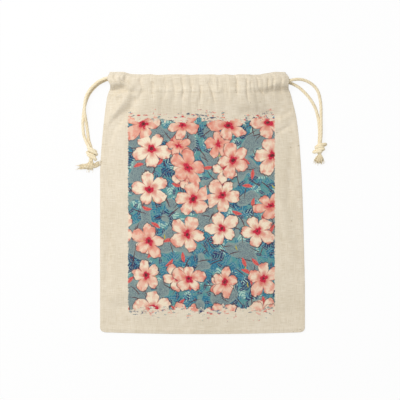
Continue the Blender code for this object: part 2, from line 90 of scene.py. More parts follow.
# Creases of the gathers: share across, height of the cloth between this crease and the next
FRONT_CREASES = thousandths(
    (0, 0.4), (45, 1), (134, 1.6), (188, 1.5), (237, 2.2), (300, 1.5), (355, 1.4), (409, 2.2), (455, 1.6),
    (504, 2.2), (577, 2), (640, 1.6), (710, 1.8), (766, 2.1), (812, 1.6), (856, 1.8), (955, 0.6), (1000, 0),
)
BACK_CREASES = thousandths(
    (0, 0.3), (45, 0.9), (130, 1.2), (210, 1), (300, 1.2), (380, 0.9), (470, 1.2), (550, 1.1), (640, 1.2),
    (720, 1), (810, 1.2), (880, 0.9), (955, 0.3), (1000, 0),
)
# Soft folds below the casing: share across and distance below the top of both ends, depth, half width
DRAG_FOLDS = thousandths(
    (26, 37, 67, 31, 1.8, 2.8), (164, 28, 140, 49, 4.2, 6.6), (140, 49, 62, 74, 4.4, 7.4),
    (62, 74, 30, 97, 2.4, 6.4), (70, 40, 45, 56, 1.4, 4), (497, 30, 492, 49, 1.4, 2.4),
    (555, 30, 545, 41, 1.2, 2.4), (740, 57, 890, 64, 3.6, 8.5), (901, 87, 985, 76, 2, 3),
    (930, 64, 990, 56, 1.4, 4), (960, 110, 930, 190, 1.2, 6), (20, 348, 135, 341, 1.6, 4.5),
    (35, 362, 90, 352, 1.2, 3), (880, 350, 975, 357, 1.4, 4.5), (30, 150, 90, 185, 1.3, 6),
    (45, 235, 28, 300, 1, 5.5),
)
# Soft ridges that run out from the left ear and along the sides
RIDGES = thousandths(
    (4, 20, 78, 7.5, 4.2, 5.8), (28, 37, 98, 30, 1.5, 2.6), (128, 16, 92, 42, 3.4, 6.8),
    (92, 42, 44, 61, 3.6, 6.8), (44, 61, 20, 72, 2, 5.5), (900, 18, 985, 13, 1.2, 4),
    (915, 70, 978, 62, 1.3, 5), (55, 330, 120, 320, 1, 6), (900, 200, 940, 270, 1, 7),
)
# Crisp pleats of the casing and just below it
PLEATS = thousandths(
    (10, 20.5, 36, 26.2, 1.4, 2), (34, 3.5, 46, 15, 1, 1.8), (78, 3.5, 70, 12, 1, 1.8),
    (50, 9.5, 88, 17.2, 1.1, 2), (8, 30, 92, 19, 1.5, 4), (98, 6, 122, 26, 1.3, 3),
    (16, 35.5, 55, 29.5, 1.2, 2.2), (104, 20.5, 98, 27, 1.3, 2), (182, 7, 176, 33, 0.8, 2.4),
    (247, 13, 240, 26.1, 1.4, 1.7), (240, 26.1, 251, 35, 1.4, 1.7), (318, 6, 312, 33, 0.8, 2),
    (362, 10, 367, 38, 0.7, 2.2), (415, 5, 411, 35, 1, 2), (462, 8, 458, 27, 0.7, 1.8),
    (509, 18, 506, 50, 1.3, 1.9), (556, 13, 586, 42, 1.3, 1.8), (612, 5, 606, 24, 0.8, 1.8),
    (655, 7, 660, 35, 0.7, 2), (714, 4.5, 709, 27, 1.3, 1.7), (769, 8, 762, 37, 1.1, 1.8),
    (788, 12, 792, 26, 0.8, 1.6), (828, 5, 831, 19.4, 1.6, 1.7), (831, 19.4, 848, 27, 1.6, 1.8),
    (886, 8, 884, 25, 1.2, 1.7), (917, 5.5, 912, 24, 1.6, 1.8), (962, 12, 955, 26, 1, 2),
)
# Route of each cord, from its knot through the front casing and round the far side, back to its knot
LEFT_CORD_ROUTE = thousandths(
    (-161.8, 81.8, 3), (-164.6, 90.5, 2.4), (-166.5, 103.7, 2.4), (-168, 115, 3.2), (-169.6, 125, 6.6),
    (-170.8, 134.5, 7.4), (-169, 151, 7.3), (-163, 163.5, 7.8), (-153, 173.5, 9.8), (-142, 179.3, 12.2),
    (-130, 180.7, 13), (-110, 178.7, 14.3), (-90, 177.2, 16.4), (-70, 176.7, 17.6), (-30, 176.5, 17.7),
    (20, 176.5, 17.7), (60, 176.6, 17.6), (80, 177.3, 16.4), (100, 179.2, 14.2), (112, 180.6, 13.3),
    (118.5, 180.8, 12.2), (121, 180.8, 8.8), (118.5, 180.8, 5.4), (110, 180.5, 4.5), (90, 178, 4.5),
    (60, 176.6, 4.5), (0, 176.5, 4.5), (-60, 176.6, 4.5), (-90, 177.2, 4.5), (-115, 179.3, 4.5),
    (-132, 180.1, 4.5), (-141.5, 177.4, 4.3), (-153, 170.6, 2.8), (-163.5, 158.8, 2.4), (-169.5, 145, 2.4),
    (-172.2, 130, 2.4), (-173.3, 115, 2.4), (-172.2, 100, 2.4), (-168, 88, 4), (-164.3, 81.5, 7.6),
)
RIGHT_CORD_ROUTE = thousandths(
    (170.6, 87.6, 7.8), (171.6, 100, 7), (171.7, 113, 6.2), (171.7, 126, 4), (171.6, 140, 2.5),
    (170.2, 151, 2.4), (167.5, 161, 2.5), (162, 169, 3.4), (153.5, 175.2, 5.6), (144, 178.4, 8.6),
    (135, 178.6, 11.2), (125, 176.8, 12.7), (110, 175, 13.5), (90, 172.4, 15.4), (70, 171.6, 17.2),
    (30, 171.1, 17.7), (-20, 171.1, 17.7), (-70, 171.3, 17.6), (-95, 172.1, 15.7), (-115, 174.2, 13.7),
    (-125, 175.1, 13), (-130.5, 175.2, 12), (-133, 175.2, 8.8), (-130.5, 175.2, 5.5), (-122, 174.8, 4.5),
    (-100, 172.4, 4.5), (-60, 171.2, 4.5), (0, 171.1, 4.5), (60, 171.3, 4.5), (90, 172.4, 4.5),
    (110, 174.6, 4.5), (124, 174.2, 4.4), (133, 171.2, 3.6), (142, 165.5, 2.5), (153, 154.5, 2.4),
    (161.6, 141.5, 2.4), (166.2, 129, 2.4), (168.6, 116, 2.4), (169.6, 101, 2.4), (169, 87.6, 3),
)

# Knots: centre, turn about Z in degrees, length, width, height, room between the strands, tilt of the wraps
LEFT_KNOT = ((-0.1600, 0.0720, 0.0056), 8.0, 0.0170, 0.0168, 0.0112, -0.0008, -0.42)
RIGHT_KNOT = ((0.1697, 0.0793, 0.0054), -4.0, 0.0148, 0.0176, 0.0108, 0.0036, 0.40)
# Frayed ends below each knot: the line that they follow, half width and half height at their tip, yarns
LEFT_TAILS = (
    (((-0.1612, 0.0640, 0.0050), (-0.1622, 0.0560, 0.0036), (-0.1632, 0.0485, 0.0026)), 0.0050, 0.0020, 110),
    (((-0.1616, 0.0640, 0.0050), (-0.1650, 0.0545, 0.0038), (-0.1772, 0.0522, 0.0032)), 0.0039, 0.0028, 170),
    (((-0.1610, 0.0640, 0.0050), (-0.1588, 0.0540, 0.0038), (-0.1500, 0.0568, 0.0032)), 0.0035, 0.0026, 150),
)
RIGHT_TAILS = (
    (((0.1695, 0.0735, 0.0052), (0.1686, 0.0675, 0.0045), (0.1642, 0.0604, 0.0030)), 0.0036, 0.0025, 120),
    (((0.1697, 0.0735, 0.0052), (0.1693, 0.0670, 0.0045), (0.1686, 0.0582, 0.0032)), 0.0046, 0.0028, 130),
    (((0.1700, 0.0735, 0.0052), (0.1702, 0.0675, 0.0045), (0.1732, 0.0604, 0.0030)), 0.0034, 0.0025, 120),
)


def linear(colour):
    """An sRGB hex colour, such as "E2D6C0", as linear red, green and blue."""
    shares = [int(colour[i : i + 2], 16) / 255 for i in (0, 2, 4)]
    return tuple(s / 12.92 if s <= 0.04045 else ((s + 0.055) / 1.055) ** 2.4 for s in shares)


def length(name, description, default):
    return FloatProperty(
        name=name, description=description, default=default, min=0.0, precision=5, unit="LENGTH"
    )


def tint(name, description, colour):
    return FloatVectorProperty(
        name=name, description=description, default=linear(colour), min=0.0, max=1.0, subtype="COLOR"
    )


class BagSizes(bpy.types.PropertyGroup):
    width: length("Width", "From side fold to side fold", panel_high.x - panel_low.x)
    height: length("Height", "From top fold to bottom fold", panel_high.y - panel_low.y)
    cloth: length("Cloth", "Thickness of the canvas", 0.0006)
    clearance: length("Clearance", "Room between layers that lie on each other", 0.0003)
    allowance: length("Seam allowance", "Cloth turned in at the sides and the bottom", 0.010)
    casing: length("Casing", "Depth of the casing, from the top fold to its stitches", 0.027)
    hem: length("Hem", "Cloth past the casing's stitches", 0.003)
    corner: length("Corner", "Radius of the bottom corners", 0.006)
    cord: length("Cord", "Diameter of the drawcords", 0.0045)
    cord_below_top: length("Cord below top", "From the top fold to the upper cord", 0.009)
    cord_space: length("Cord space", "Room between the two cords of a casing", 0.0011)
    channel_slack: length("Channel slack", "Spare height in the casing", 0.0004)
    mouth_gap: length("Mouth gap", "Open height between the casings", 0.0055)
    mouth_end_gap: length("Mouth end gap", "The same at the ears", 0.0006)
    mouth_taper: length("Mouth taper", "From an ear to where the mouth lies open", 0.070)
    mouth_seam_lift: length("Seam lift", "Height of the casing's stitches above its lowest", 0.0030)
    puff: length("Puff", "Rise of the front panel between its seams", 0.0088)
    puff_side: length("Side rise", "From the side seam to the full puff", 0.090)
    puff_bottom: length("Bottom rise", "From the bottom seam to the full puff", 0.115)
    neck: length("Neck", "From the casing to where the body starts", 0.063)
    crease_fade: length("Crease fade", "From the casing to where the gathers end", 0.050)
    dip_fade: length("Dip fade", "How far down the dip of the top fold is felt", 0.110)
    bottom_bow: length("Bottom bow", "Rise of the bottom corners over the middle", 0.0025)
    pleat_rise: length("Pleat rise", "Fullness of the gathered casing between its pleats", 0.0017)
    past_cords: length("Past the cords", "How high the cloth stands up below the cords", 0.0032)
    stitch: length("Stitch", "Length of a casing stitch", 0.0022)
    stitch_step: length("Stitch step", "From one casing stitch to the next", 0.0029)
    thread: length("Thread", "Radius of the sewing thread", 0.00019)


class CanvasLook(bpy.types.PropertyGroup):
    thread: length("Thread", "Distance from one thread of the weave to the next", 0.00062)
    cotton: tint("Cotton", "Unbleached cotton, most of the surface", "E8DCC7")
    # Shade is painted shade in the hollows of the weave, and also the real darker yarn and clouds of the
    # cotton
    shade: tint("Shade", "Hollows of the weave and darker yarn", "CFC1A6")
    pale: tint("Pale yarn", "Thick soft yarns of the weave", "F3EAD8")
    fleck: tint("Fleck", "Bits of seed left in the cotton", "9A8566")
    thread_colour: tint("Sewing thread", "Thread of the stitches", "DDD0B4")


class PrintLook(bpy.types.PropertyGroup):
    left: length("Left edge", "From the left side of the cloth to the print", 0.0405)
    right: length("Right edge", "From the left side of the cloth to the print's far edge", 0.2535)
    top: length("Top edge", "From the top fold to the solid print", 0.0690)
    bottom: length("Bottom edge", "From the top fold to the end of the solid print", 0.3440)
    blossom: length("Blossom", "Radius of the large blossoms", 0.0285)
    ground: tint("Ground", "Flat grey-blue ground", "869B97")
    teal: tint("Teal", "Ground under the foliage", "448F93")
    deep: tint("Deep teal", "Broad leaves", "0C6E8E")
    navy: tint("Navy", "Dark leaves", "0D275C")
    mint: tint("Mint", "Pale ribs of the leaves", "A9CBBE")
    stem: tint("Stem", "Stems and outlines", "4A1A28")
    moss: tint("Moss", "Small yellow-green sprigs", "B5A93C")
    cream: tint("Cream", "Palest petals", "F2E4C9")
    peach: tint("Peach", "Warm petals", "E8A48E")
    salmon: tint("Salmon", "Rims and deepest petals", "D46458")
    crimson: tint("Crimson", "Heart of a blossom", "C60038")
    heart: tint("Dark heart", "Middle of the heart", "48030D")
    pollen: tint("Pollen", "Tips in the heart", "D8C25A")


class CordLook(bpy.types.PropertyGroup):
    lay: length("Lay", "Length of one turn of the cord's three strands", 0.0150)
    groove: FloatProperty(name="Groove", description="Depth between strands, as a share of the radius",
                          default=0.06, min=0.0, max=0.28, subtype="FACTOR")
    cream: tint("Cream", "Cotton of the cord", "F6E9CA")
    # Shade is painted shade in the grooves between the strands, and also the cord's random darker tone
    shade: tint("Shade", "Grooves of the cord", "DBC59C")
    fibre: length("Fibre", "Radius of one frayed yarn", 0.00021)


class StageLook(bpy.types.PropertyGroup):
    view_width: length("View width", "Width of the table in the picture", 0.580)
    view_x: FloatProperty(name="View X", description="Middle of the picture", default=-0.0036, unit="LENGTH")
    view_y: FloatProperty(name="View Y", description="Middle of the picture", default=0.00435, unit="LENGTH")
    view_height: length("View height", "Height of the camera above the table", 3.0)
    key_power: FloatProperty(name="Key power", description="Power of the soft window light, in watts",
                             default=27.3, unit="POWER")
    sky: FloatProperty(name="Sky", description="Strength of the light from all sides", default=0.54, min=0.0)


def smooth_step(value, start=0.0, span=1.0):
    """0 up to start and 1 from start + span, with a smooth rise between."""
    share = np.clip((value - start) / span, 0.0, 1.0)
    return share * share * (3 - 2 * share)


def through(points, at):
    """A smooth curve through (place, value) pairs, read at many places."""
    places, values = points.T
    rise = np.diff(values) / np.diff(places)
    slope = np.zeros(len(values))
    same = rise[:-1] * rise[1:] > 0
    slope[1:-1][same] = 2 * (rise[:-1] * rise[1:])[same] / (rise[:-1] + rise[1:])[same]
    at = np.clip(at, places[0], places[-1])
    i = np.clip(np.searchsorted(places, at, side="right") - 1, 0, len(places) - 2)
    span = places[i + 1] - places[i]
    u = (at - places[i]) / span
    start = (2 * u**3 - 3 * u**2 + 1) * values[i] + (u**3 - 2 * u**2 + u) * span * slope[i]
    return start + (3 * u**2 - 2 * u**3) * values[i + 1] + (u**3 - u**2) * span * slope[i + 1]


def ripple(seed, across, along=(0.0, 1.0)):
    """Smooth random heights from -1 to 1. Each way is given by places and by the size of its hills."""
    count = 64
    lattice = np.random.default_rng(seed).uniform(-1, 1, (count, count))
    u, v = (np.asarray(places) / size + count for places, size in (across, along))
    i, j = np.floor(u).astype(int), np.floor(v).astype(int)
    a, b = smooth_step(u - i), smooth_step(v - j)
    low, high = (
        lattice[i % count, k % count] * (1 - a) + lattice[(i + 1) % count, k % count] * a for k in (j, j + 1)
    )
    return low * (1 - b) + high * b


def humps(creases, share):
    """How high the gathered cloth stands between its creases, which are at zero."""
    places, heights = creases.T
    i = np.clip(np.searchsorted(places, share, side="right") - 1, 0, len(places) - 2)
    phase = (share - places[i]) / (places[i + 1] - places[i])
    return heights[i] * 4 * phase * (1 - phase)


class LyingBag:
    """The shape of the empty bag as it lies: places on the ground plan, and heights above the table.

    A point of a panel is given by its share across the cloth and by its distance below the top fold.
    """

    # Shares of the gathers' height: in the casing's inner layer, and in the front panel's outer one
    INNER_WAVE = 0.35
    SOFTENED = 0.62
    NECK_SIDE_SHARE = 0.25
    TOP_ROUNDNESS = 0.8

    def __init__(self, sizes):
        self.s = sizes
        self.fold = (sizes.cloth + sizes.clearance) / 2
        self.fold_reach = self.fold + sizes.cloth / 2 * math.sqrt(2)
        self.layer = sizes.cloth + sizes.clearance
        self.channel = sizes.cord + 2 * sizes.clearance + sizes.channel_slack
        self.channel_start = sizes.cord_below_top - sizes.cord / 2
        self.channel_end = self.channel_start + 2 * sizes.cord + sizes.cord_space
        self.front_hump, self.back_hump = FRONT_CREASES[:, 1].max(), BACK_CREASES[:, 1].max()
        self.front_seam = 3 * self.layer + sizes.cloth / 2

    def side_edges(self, below):
        half = self.s.width / 2 - self.fold_reach
        rise = np.clip(self.s.height - below, 0.0, self.s.corner)
        corner = self.s.corner - np.sqrt(self.s.corner**2 - (self.s.corner - rise) ** 2)
        return -half + through(LEFT_PULL, below) + corner, half - through(RIGHT_PULL, below) - corner

    def place(self, share, below):
        s = self.s
        left, right = self.side_edges(below)
        dip = through(TOP_DIP, share) * (1 - smooth_step(below, 0, s.dip_fade))
        bow = s.bottom_bow * (2 * share - 1) ** 2 * smooth_step(below, 0, s.height) ** 3
        y = s.height / 2 - below - dip + bow - 0.75 * s.cloth * (1 - smooth_step(below, 0, s.casing))
        between_ears = smooth_step(share, 0.09, 0.05) * smooth_step(-share, -0.89, 0.05)
        uneven = 0.00055 * (1 + ripple(6, (share * s.width, 0.0115)))
        y = y - uneven * between_ears * (1 - smooth_step(below, 0, 0.020))
        y = y + self.fold_reach * smooth_step(below, s.casing, s.height - s.casing)
        return left + (right - left) * share, y

    def inward(self, x, below):
        left, right = self.side_edges(below)
        return np.minimum(x - left, right - x)

    def gather_fade(self, below):
        return 1 - smooth_step(below, self.s.casing, self.s.crease_fade)

    def channel_share(self, below):
        """0 at the top fold and the stitches, and 1 where the cords lie."""
        up = smooth_step(np.clip(below / self.channel_start, 0, 1) ** self.TOP_ROUNDNESS)
        down = 1 - smooth_step(below, self.channel_end, self.s.casing - self.channel_end)
        return np.where(below < self.channel_start, up, down)

    def wave_share(self, below):
        return 1 - (1 - self.INNER_WAVE) * self.channel_share(below)

    def casing_lift(self, full, below):
        """From the middle of the casing's one layer to the middle of its other."""
        return self.layer + (full + self.s.cloth + self.channel - self.layer) * self.channel_share(below)

    def back_outer(self, share, below):
        s = self.s
        x, y = self.place(share, below)
        inward = self.inward(x, below)
        inside = smooth_step(inward, s.allowance, s.allowance)
        below_casing = smooth_step(below, s.casing, s.hem)
        rise = (self.back_hump - humps(BACK_CREASES, share)) * self.gather_fade(below)
        soft = 0.0004 * (1 + ripple(31, (x, 0.021), (y, 0.034))) * smooth_step(inward, 0, 0.04)
        soft = soft * smooth_step(below, 0.06, 0.06) * smooth_step(s.height - below, 0, 0.03)
        return s.cloth / 2 + OFF_TABLE + rise * (1 - below_casing * (1 - inside)) + soft

    def back_inner(self, share, below):
        rise = (self.back_hump - humps(BACK_CREASES, share)) * self.wave_share(below)
        return self.s.cloth / 2 + rise + self.casing_lift(self.back_hump, below)

    def back_top(self, below):
        wave = self.back_hump * self.wave_share(below)
        return self.s.cloth + wave + self.casing_lift(self.back_hump, below)

    def front_base(self, x, below):
        """The front casing's inner layer: close to the back at the ears, and well above it between them."""
        s = self.s
        opened = smooth_step(self.inward(x, below), 0, s.mouth_taper)
        closed = self.back_top(below) + s.mouth_end_gap
        lifted = s.mouth_seam_lift * (1 - self.channel_share(below))
        wide = self.back_top(self.channel_start) + s.mouth_gap + lifted
        return closed + (wide - closed) * opened + s.cloth / 2

    def front_inner(self, share, below):
        x, _ = self.place(share, below)
        return self.front_base(x, below) + humps(FRONT_CREASES, share) * self.wave_share(below)

    def front_rest(self, x, below):
        """The front panel without gathers and folds: its casing, and a low dome down to the seams."""
        s = self.s
        inward = self.inward(x, below)
        from_seams = inward / s.puff_side, (s.height - below) / s.puff_bottom
        side_rise, bottom_rise = (np.sin(math.pi / 2 * np.clip(away, 0, 1)) for away in from_seams)
        dome = self.front_seam + s.puff * side_rise * bottom_rise
        slack = 0.0018 * (1 + ripple(8, (x, 0.0075))) * smooth_step(below, self.channel_end, 0.003)
        sagging = np.where(below > self.channel_end, below - slack, below)
        casing = self.front_base(x, below) + self.casing_lift(self.front_hump * self.INNER_WAVE, sagging)
        open_share = smooth_step(inward, 0, s.mouth_taper)
        neck = s.neck * (self.NECK_SIDE_SHARE + (1 - self.NECK_SIDE_SHARE) * open_share)
        return dome + (casing - dome) * (1 - smooth_step(below, s.casing, neck))

    def folds(self, lines, share, below):
        """How deep the cloth is folded in along lines, each with its own depth and half width."""
        depth = np.zeros_like(share)
        for x0, y0, x1, y1, deep, half_width in lines:
            dx, dy = (x1 - x0) * self.s.width, y1 - y0
            px, py = (share - x0) * self.s.width, below - y0
            reached = np.clip((px * dx + py * dy) / (dx * dx + dy * dy), 0, 1)
            away = np.hypot(px - dx * reached, py - dy * reached) / half_width
            depth = np.maximum(depth, deep * np.exp(-away * away))
        return depth

    def front_outer(self, share, below):
        """The front panel as it lies, with gathers, the soft folds below the casing and small ripples."""
        s = self.s
        x, y = self.place(share, below)
        left, right = self.side_edges(below)
        inward = self.inward(x, below)
        wander = 0.006 * ripple(3, (x, 0.040), (y, 0.024)) * smooth_step(below, 0.012, 0.03)
        moved = np.clip(share + wander * smooth_step(inward, 0, 0.02), 0, 1)
        fading = self.gather_fade(below + 0.018 * ripple(4, (x, 0.013)))
        height = self.front_rest(x, below) + self.SOFTENED * humps(FRONT_CREASES, moved) * fading
        height = height + self.folds(RIDGES, share, below) * smooth_step(inward, 0, 0.007)
        folded = self.folds(DRAG_FOLDS, share, below) * smooth_step(below, s.casing + s.hem, s.allowance)
        lowest = self.front_rest(np.where(x < (left + right) / 2, left, right), below) + self.fold
        height = np.maximum(height - folded, np.minimum(height, lowest))
        return height + self.front_relief(x, y, below, inward) + self.casing_relief(share, x, y, below)

    def casing_relief(self, share, x, y, below):
        """Fullness of the gathered casing with crisp pleats, and cloth that stands up past the cords."""
        s = self.s
        left, right = self.side_edges(below)
        lift = s.pleat_rise + 0.00040 * ripple(11, (x, 0.0050), (y, 0.019))
        lift = np.maximum(lift - 1.5 * self.folds(PLEATS, share, below), 0.0)
        lift = lift * smooth_step(self.inward(x, below), 0, 0.008) * smooth_step(below, 0, 0.003)
        lift = lift * (1 - smooth_step(below, s.casing, 0.040))
        between_ears = smooth_step(x - left, 0.002, 0.014) * smooth_step(right - x, 0.036, 0.030)
        standing = smooth_step(below, self.channel_end + 0.0018, s.casing - self.channel_end)
        standing = standing * (1 - smooth_step(below, s.casing, 0.085))
        return lift + s.past_cords * between_ears * standing

    def front_relief(self, x, y, below, inward):
        """Small relief that only lifts the cloth: soft unevenness, puckers and the ridges of the seams."""
        s = self.s
        from_stitch = below - s.casing
        groove = 0.00016 * (1.6 + ripple(14, (x, 0.013))) * (1 - np.exp(-((from_stitch / 0.0016) ** 2)))
        groove = groove * (1 - smooth_step(np.abs(from_stitch), 0, 0.012))
        body = smooth_step(from_stitch, 0, 0.030) * smooth_step(s.height - below, 0, 0.020)
        soft = 0.0012 * ripple(21, (x, 0.055), (y, 0.070)) + 0.00040 * ripple(22, (x, 0.019), (y, 0.025))
        edge = 0.00030 * (1 + ripple(23, (0.0, 1.0), (y, 0.0095))) * np.exp(-((inward / 0.006) ** 2))
        ridge = 0.00055 * np.exp(-(((s.height - below - 0.0048) / 0.0019) ** 2))
        seam = 0.00022 * np.exp(-(((inward - 0.0036) / 0.0015) ** 2)) * smooth_step(below, 0.05, 0.03)
        rolling = (soft * smooth_step(inward, 0, 0.03) + edge) * body
        return (groove + ridge) * smooth_step(inward, 0, 0.012) + rolling + seam


def deselect_all():
    bpy.ops.object.select_all(action="DESELECT")


def add_mesh(name, points, faces, materials, uv_name=None, uv=None):
    """A smooth mesh object. uv has one place for each corner of each face."""
    data = bpy.data.meshes.new(name)
    data.from_pydata([tuple(p) for p in points], [], [tuple(f) for f in faces])
    if uv is not None:
        layer = data.uv_layers.new(name=uv_name)
        layer.data.foreach_set("uv", np.asarray(uv, np.float32).ravel())
    for material in materials:
        data.materials.append(material)
    data.shade_smooth()
    made = bpy.data.objects.new(name, data)
    bpy.context.scene.collection.objects.link(made)
    return made


def edit_mesh(piece, change):
    mesh = bmesh.new()
    mesh.from_mesh(piece.data)
    change(mesh)
    mesh.to_mesh(piece.data)
    mesh.free()


def finish_with(piece, modifiers):
    """Adds modifiers with their settings and applies them in turn."""
    deselect_all()
    bpy.context.view_layer.objects.active = piece
    piece.select_set(True)
    for kind, settings in modifiers:
        modifier = piece.modifiers.new(kind.lower(), kind)
        for key, value in settings.items():
            setattr(modifier, key, value)
    for modifier in list(piece.modifiers):
        bpy.ops.object.modifier_apply(modifier=modifier.name)
    piece.select_set(False)


def dress(piece, node=None):
    """Lets a piece ride on the bag and stand for a node."""
    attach(piece, BODY)
    if node:
        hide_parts(node)


class PanelSheet:
    """One panel's middle surface: its casing folded in at the top, and its allowances turned in."""

    FOLD_STEPS, FLAP_STEPS = 4, 3
    TURNED = FOLD_STEPS + FLAP_STEPS
    # Columns at each end that the casing's inner layer leaves free, and the same in the bottom allowance
    HEM_MARGIN, CORNER_SHARE = 4, 0.05
    # Cloth that one step of a turned fold takes up
    FOLD_CLOTH = 0.0004

    def __init__(self, bag, front, columns):
        self.bag, self.front, self.columns = bag, front, columns
        self.heights = (bag.front_inner, bag.front_outer) if front else (bag.back_inner, bag.back_outer)
        self.rows = self.all_rows()
        self.bottom = len(self.rows) - 1
        self.main = slice(self.TURNED, self.TURNED + columns)
        size = (len(self.rows) + self.TURNED, columns + 2 * self.TURNED)
        self.points, self.flat = np.zeros((*size, 3)), np.zeros((*size, 2))
        self.there = np.zeros(size, bool)
        self.lay_rows()
        self.turn_in_sides()
        self.turn_in_bottom()

    def all_rows(self):
        """Rows as (distance below the top, layer), from the hem over the top fold to the bottom."""
        s, steps = self.bag.s, (25, 38, 72) if self.front else (12, 20, 50)
        neck_end, body_end = 0.090, s.height - 0.012
        tip = self.bag.fold * (1 - np.cos(np.linspace(0.35, math.pi / 2, 4)))
        stops = (tip[-1], s.casing, neck_end, body_end)
        body = [np.linspace(*ends)[1:] for ends in zip(stops, stops[1:], steps)]
        above = 0.0100, 0.0080, 0.0062, 0.0048, 0.0036, 0.0025, 0.0015, 0.0007, 0.0002, 0.0
        last = s.height - np.array(above)
        hem = np.linspace(s.casing + s.hem, tip[-1], 10)
        inner = [(below, "inner") for below in (*hem[:-1], *tip[::-1])]
        outer = [(below, "outer") for below in np.concatenate([tip, *body, last])]
        return [*inner, (0.0, "tip"), *outer]

    def lay_rows(self):
        bag, columns, edge = self.bag, self.columns, self.TURNED
        shares = np.linspace(0, 1, columns)
        for row, (below, layer) in enumerate(self.rows):
            x, y = bag.place(shares, np.full(columns, below))
            inner, outer = (height(shares, np.full(columns, below)) for height in self.heights)
            if layer == "tip" or below < bag.fold:
                level = np.array([height(shares, np.full(columns, bag.fold)) for height in self.heights])
                reach = 0 if layer == "tip" else math.sqrt(1 - (1 - below / bag.fold) ** 2)
                inner, outer = (level.mean(0) + (side - level.mean(0)) * reach for side in level)
            self.points[row, self.main] = np.stack([x, y, outer if layer == "outer" else inner], -1)
            down = -below if layer == "inner" else below
            self.flat[row, self.main] = np.stack([x + bag.s.width / 2, np.full(columns, down)], -1)
            self.there[row, self.main] = True
            if layer == "inner":
                self.there[row, edge : edge + self.HEM_MARGIN] = False
                self.there[row, edge + columns - self.HEM_MARGIN : edge + columns] = False

    def turned_in(self, step):
        """How far a step of an allowance lies out past the edge, how high, and how far back in it is."""
        bag = self.bag
        turned = math.pi * min(step / self.FOLD_STEPS, 1.0)
        back = bag.s.allowance * max(step - self.FOLD_STEPS, 0) / self.FLAP_STEPS
        up = bag.fold * (1 - math.cos(turned))
        return bag.fold * math.sin(turned) - back, -up if self.front else up, back

    def turn_in_sides(self):
        s = self.bag.s
        top = next(
            r for r, (below, layer) in enumerate(self.rows) if layer == "outer" and below >= s.casing - 1e-6
        )
        side_rows = slice(top, self.bottom + 1)
        low = [r for r in range(top, self.bottom + 1) if self.rows[r][0] > s.height - s.allowance - s.hem]
        for side, edge in ((-1, self.TURNED), (1, self.TURNED + self.columns - 1)):
            for step in range(1, self.TURNED + 1):
                out, up, back = self.turned_in(step)
                column = edge + side * step
                self.points[side_rows, column] = self.points[side_rows, edge] + [side * out, 0, up]
                along = side * (step * self.FOLD_CLOTH + back)
                self.flat[side_rows, column] = self.flat[side_rows, edge] + [along, 0]
                self.there[side_rows, column] = True
                if back:
                    self.there[low, column] = False

    def turn_in_bottom(self):
        bottom, first, margin = self.bottom, self.TURNED, int(self.columns * self.CORNER_SHARE)
        for step in range(1, self.TURNED + 1):
            out, up, back = self.turned_in(step)
            self.points[bottom + step, self.main] = self.points[bottom, self.main] + [0, -out, up]
            along = step * self.FOLD_CLOTH + back
            self.flat[bottom + step, self.main] = self.flat[bottom, self.main] + [0, along]
            self.there[bottom + step, self.main] = True
            if back:
                self.there[bottom + step, first : first + margin] = False
                self.there[bottom + step, first + self.columns - margin : first + self.columns] = False

    def mesh(self):
        """Places, faces and flat-cloth places, with the two bottom corners closed."""
        number = np.full(self.there.shape, -1)
        number[self.there] = np.arange(self.there.sum())
        corners = np.stack([number[:-1, :-1], number[1:, :-1], number[1:, 1:], number[:-1, 1:]], -1)
        corners = corners.reshape(-1, 4)
        faces = corners[(corners >= 0).all(1)]
        faces = [tuple(face) for face in (faces if self.front else faces[:, ::-1])]
        for side, edge in ((-1, self.TURNED), (1, self.TURNED + self.columns - 1)):
            for k in range(self.FOLD_STEPS):
                a, b = number[self.bottom, edge + side * k], number[self.bottom, edge + side * (k + 1)]
                c, d = number[self.bottom + k + 1, edge], number[self.bottom + k, edge]
                face = (a, b, c, d) if (side < 0) == self.front else (d, c, b, a)
                faces.append(tuple(dict.fromkeys(int(v) for v in face)))
        return self.points[self.there], faces, self.flat[self.there]


def add_panel(name, bag, front, columns, materials):
    points, faces, flat = PanelSheet(bag, front, columns).mesh()
    uv = np.concatenate([flat[list(face)] for face in faces])
    panel = add_mesh(name, points, faces, materials, FLAT_CLOTH, uv)
    edit_mesh(panel, lambda mesh: bmesh.ops.remove_doubles(mesh, verts=mesh.verts, dist=1e-6))
    wall = {"thickness": bag.s.cloth, "offset": 0.0, "material_offset": 1, "material_offset_rim": 1}
    finish_with(panel, [("SOLIDIFY", wall)])
    return panel


def capsule(start, end, up, radius, sides=6):
    """A small rounded stitch from start to end: three rings and two tips."""
    start, end = Vector(start), Vector(end)
    middle, half = (start + end) / 2, (end - start).length / 2
    along = (end - start).normalized()
    up = Vector(up).normalized()
    across = along.cross(up).normalized()
    rings = ((-0.8, 0.72), (0.0, 1.0), (0.8, 0.72))
    points = [middle - along * half]
    for place, girth in rings:
        for k in range(sides):
            angle = 2 * math.pi * k / sides
            side = across * math.cos(angle) + up * math.sin(angle)
            points.append(middle + along * place * half + side * radius * girth)
    points.append(middle + along * half)
    faces = []
    for k in range(sides):
        after = (k + 1) % sides
        faces.append((0, 1 + k, 1 + after))
        for ring in range(len(rings) - 1):
            a, b = 1 + ring * sides, 1 + (ring + 1) * sides
            faces.append((a + k, b + k, b + after, a + after))
        last = 1 + (len(rings) - 1) * sides
        faces.append((last + k, len(points) - 1, last + after))
    return points, faces, []


def joined(parts):
    """Several (places, faces, map) as one."""
    places, faces, uv = [], [], []
    for part_places, part_faces, part_uv in parts:
        faces += [tuple(len(places) + i for i in face) for face in part_faces]
        places += [tuple(p) for p in part_places]
        uv += list(part_uv)
    return places, faces, uv


def travelled(points):
    """How far along a path each of its points lies."""
    return np.concatenate([[0], np.cumsum(np.linalg.norm(np.diff(points, axis=0), axis=1))])


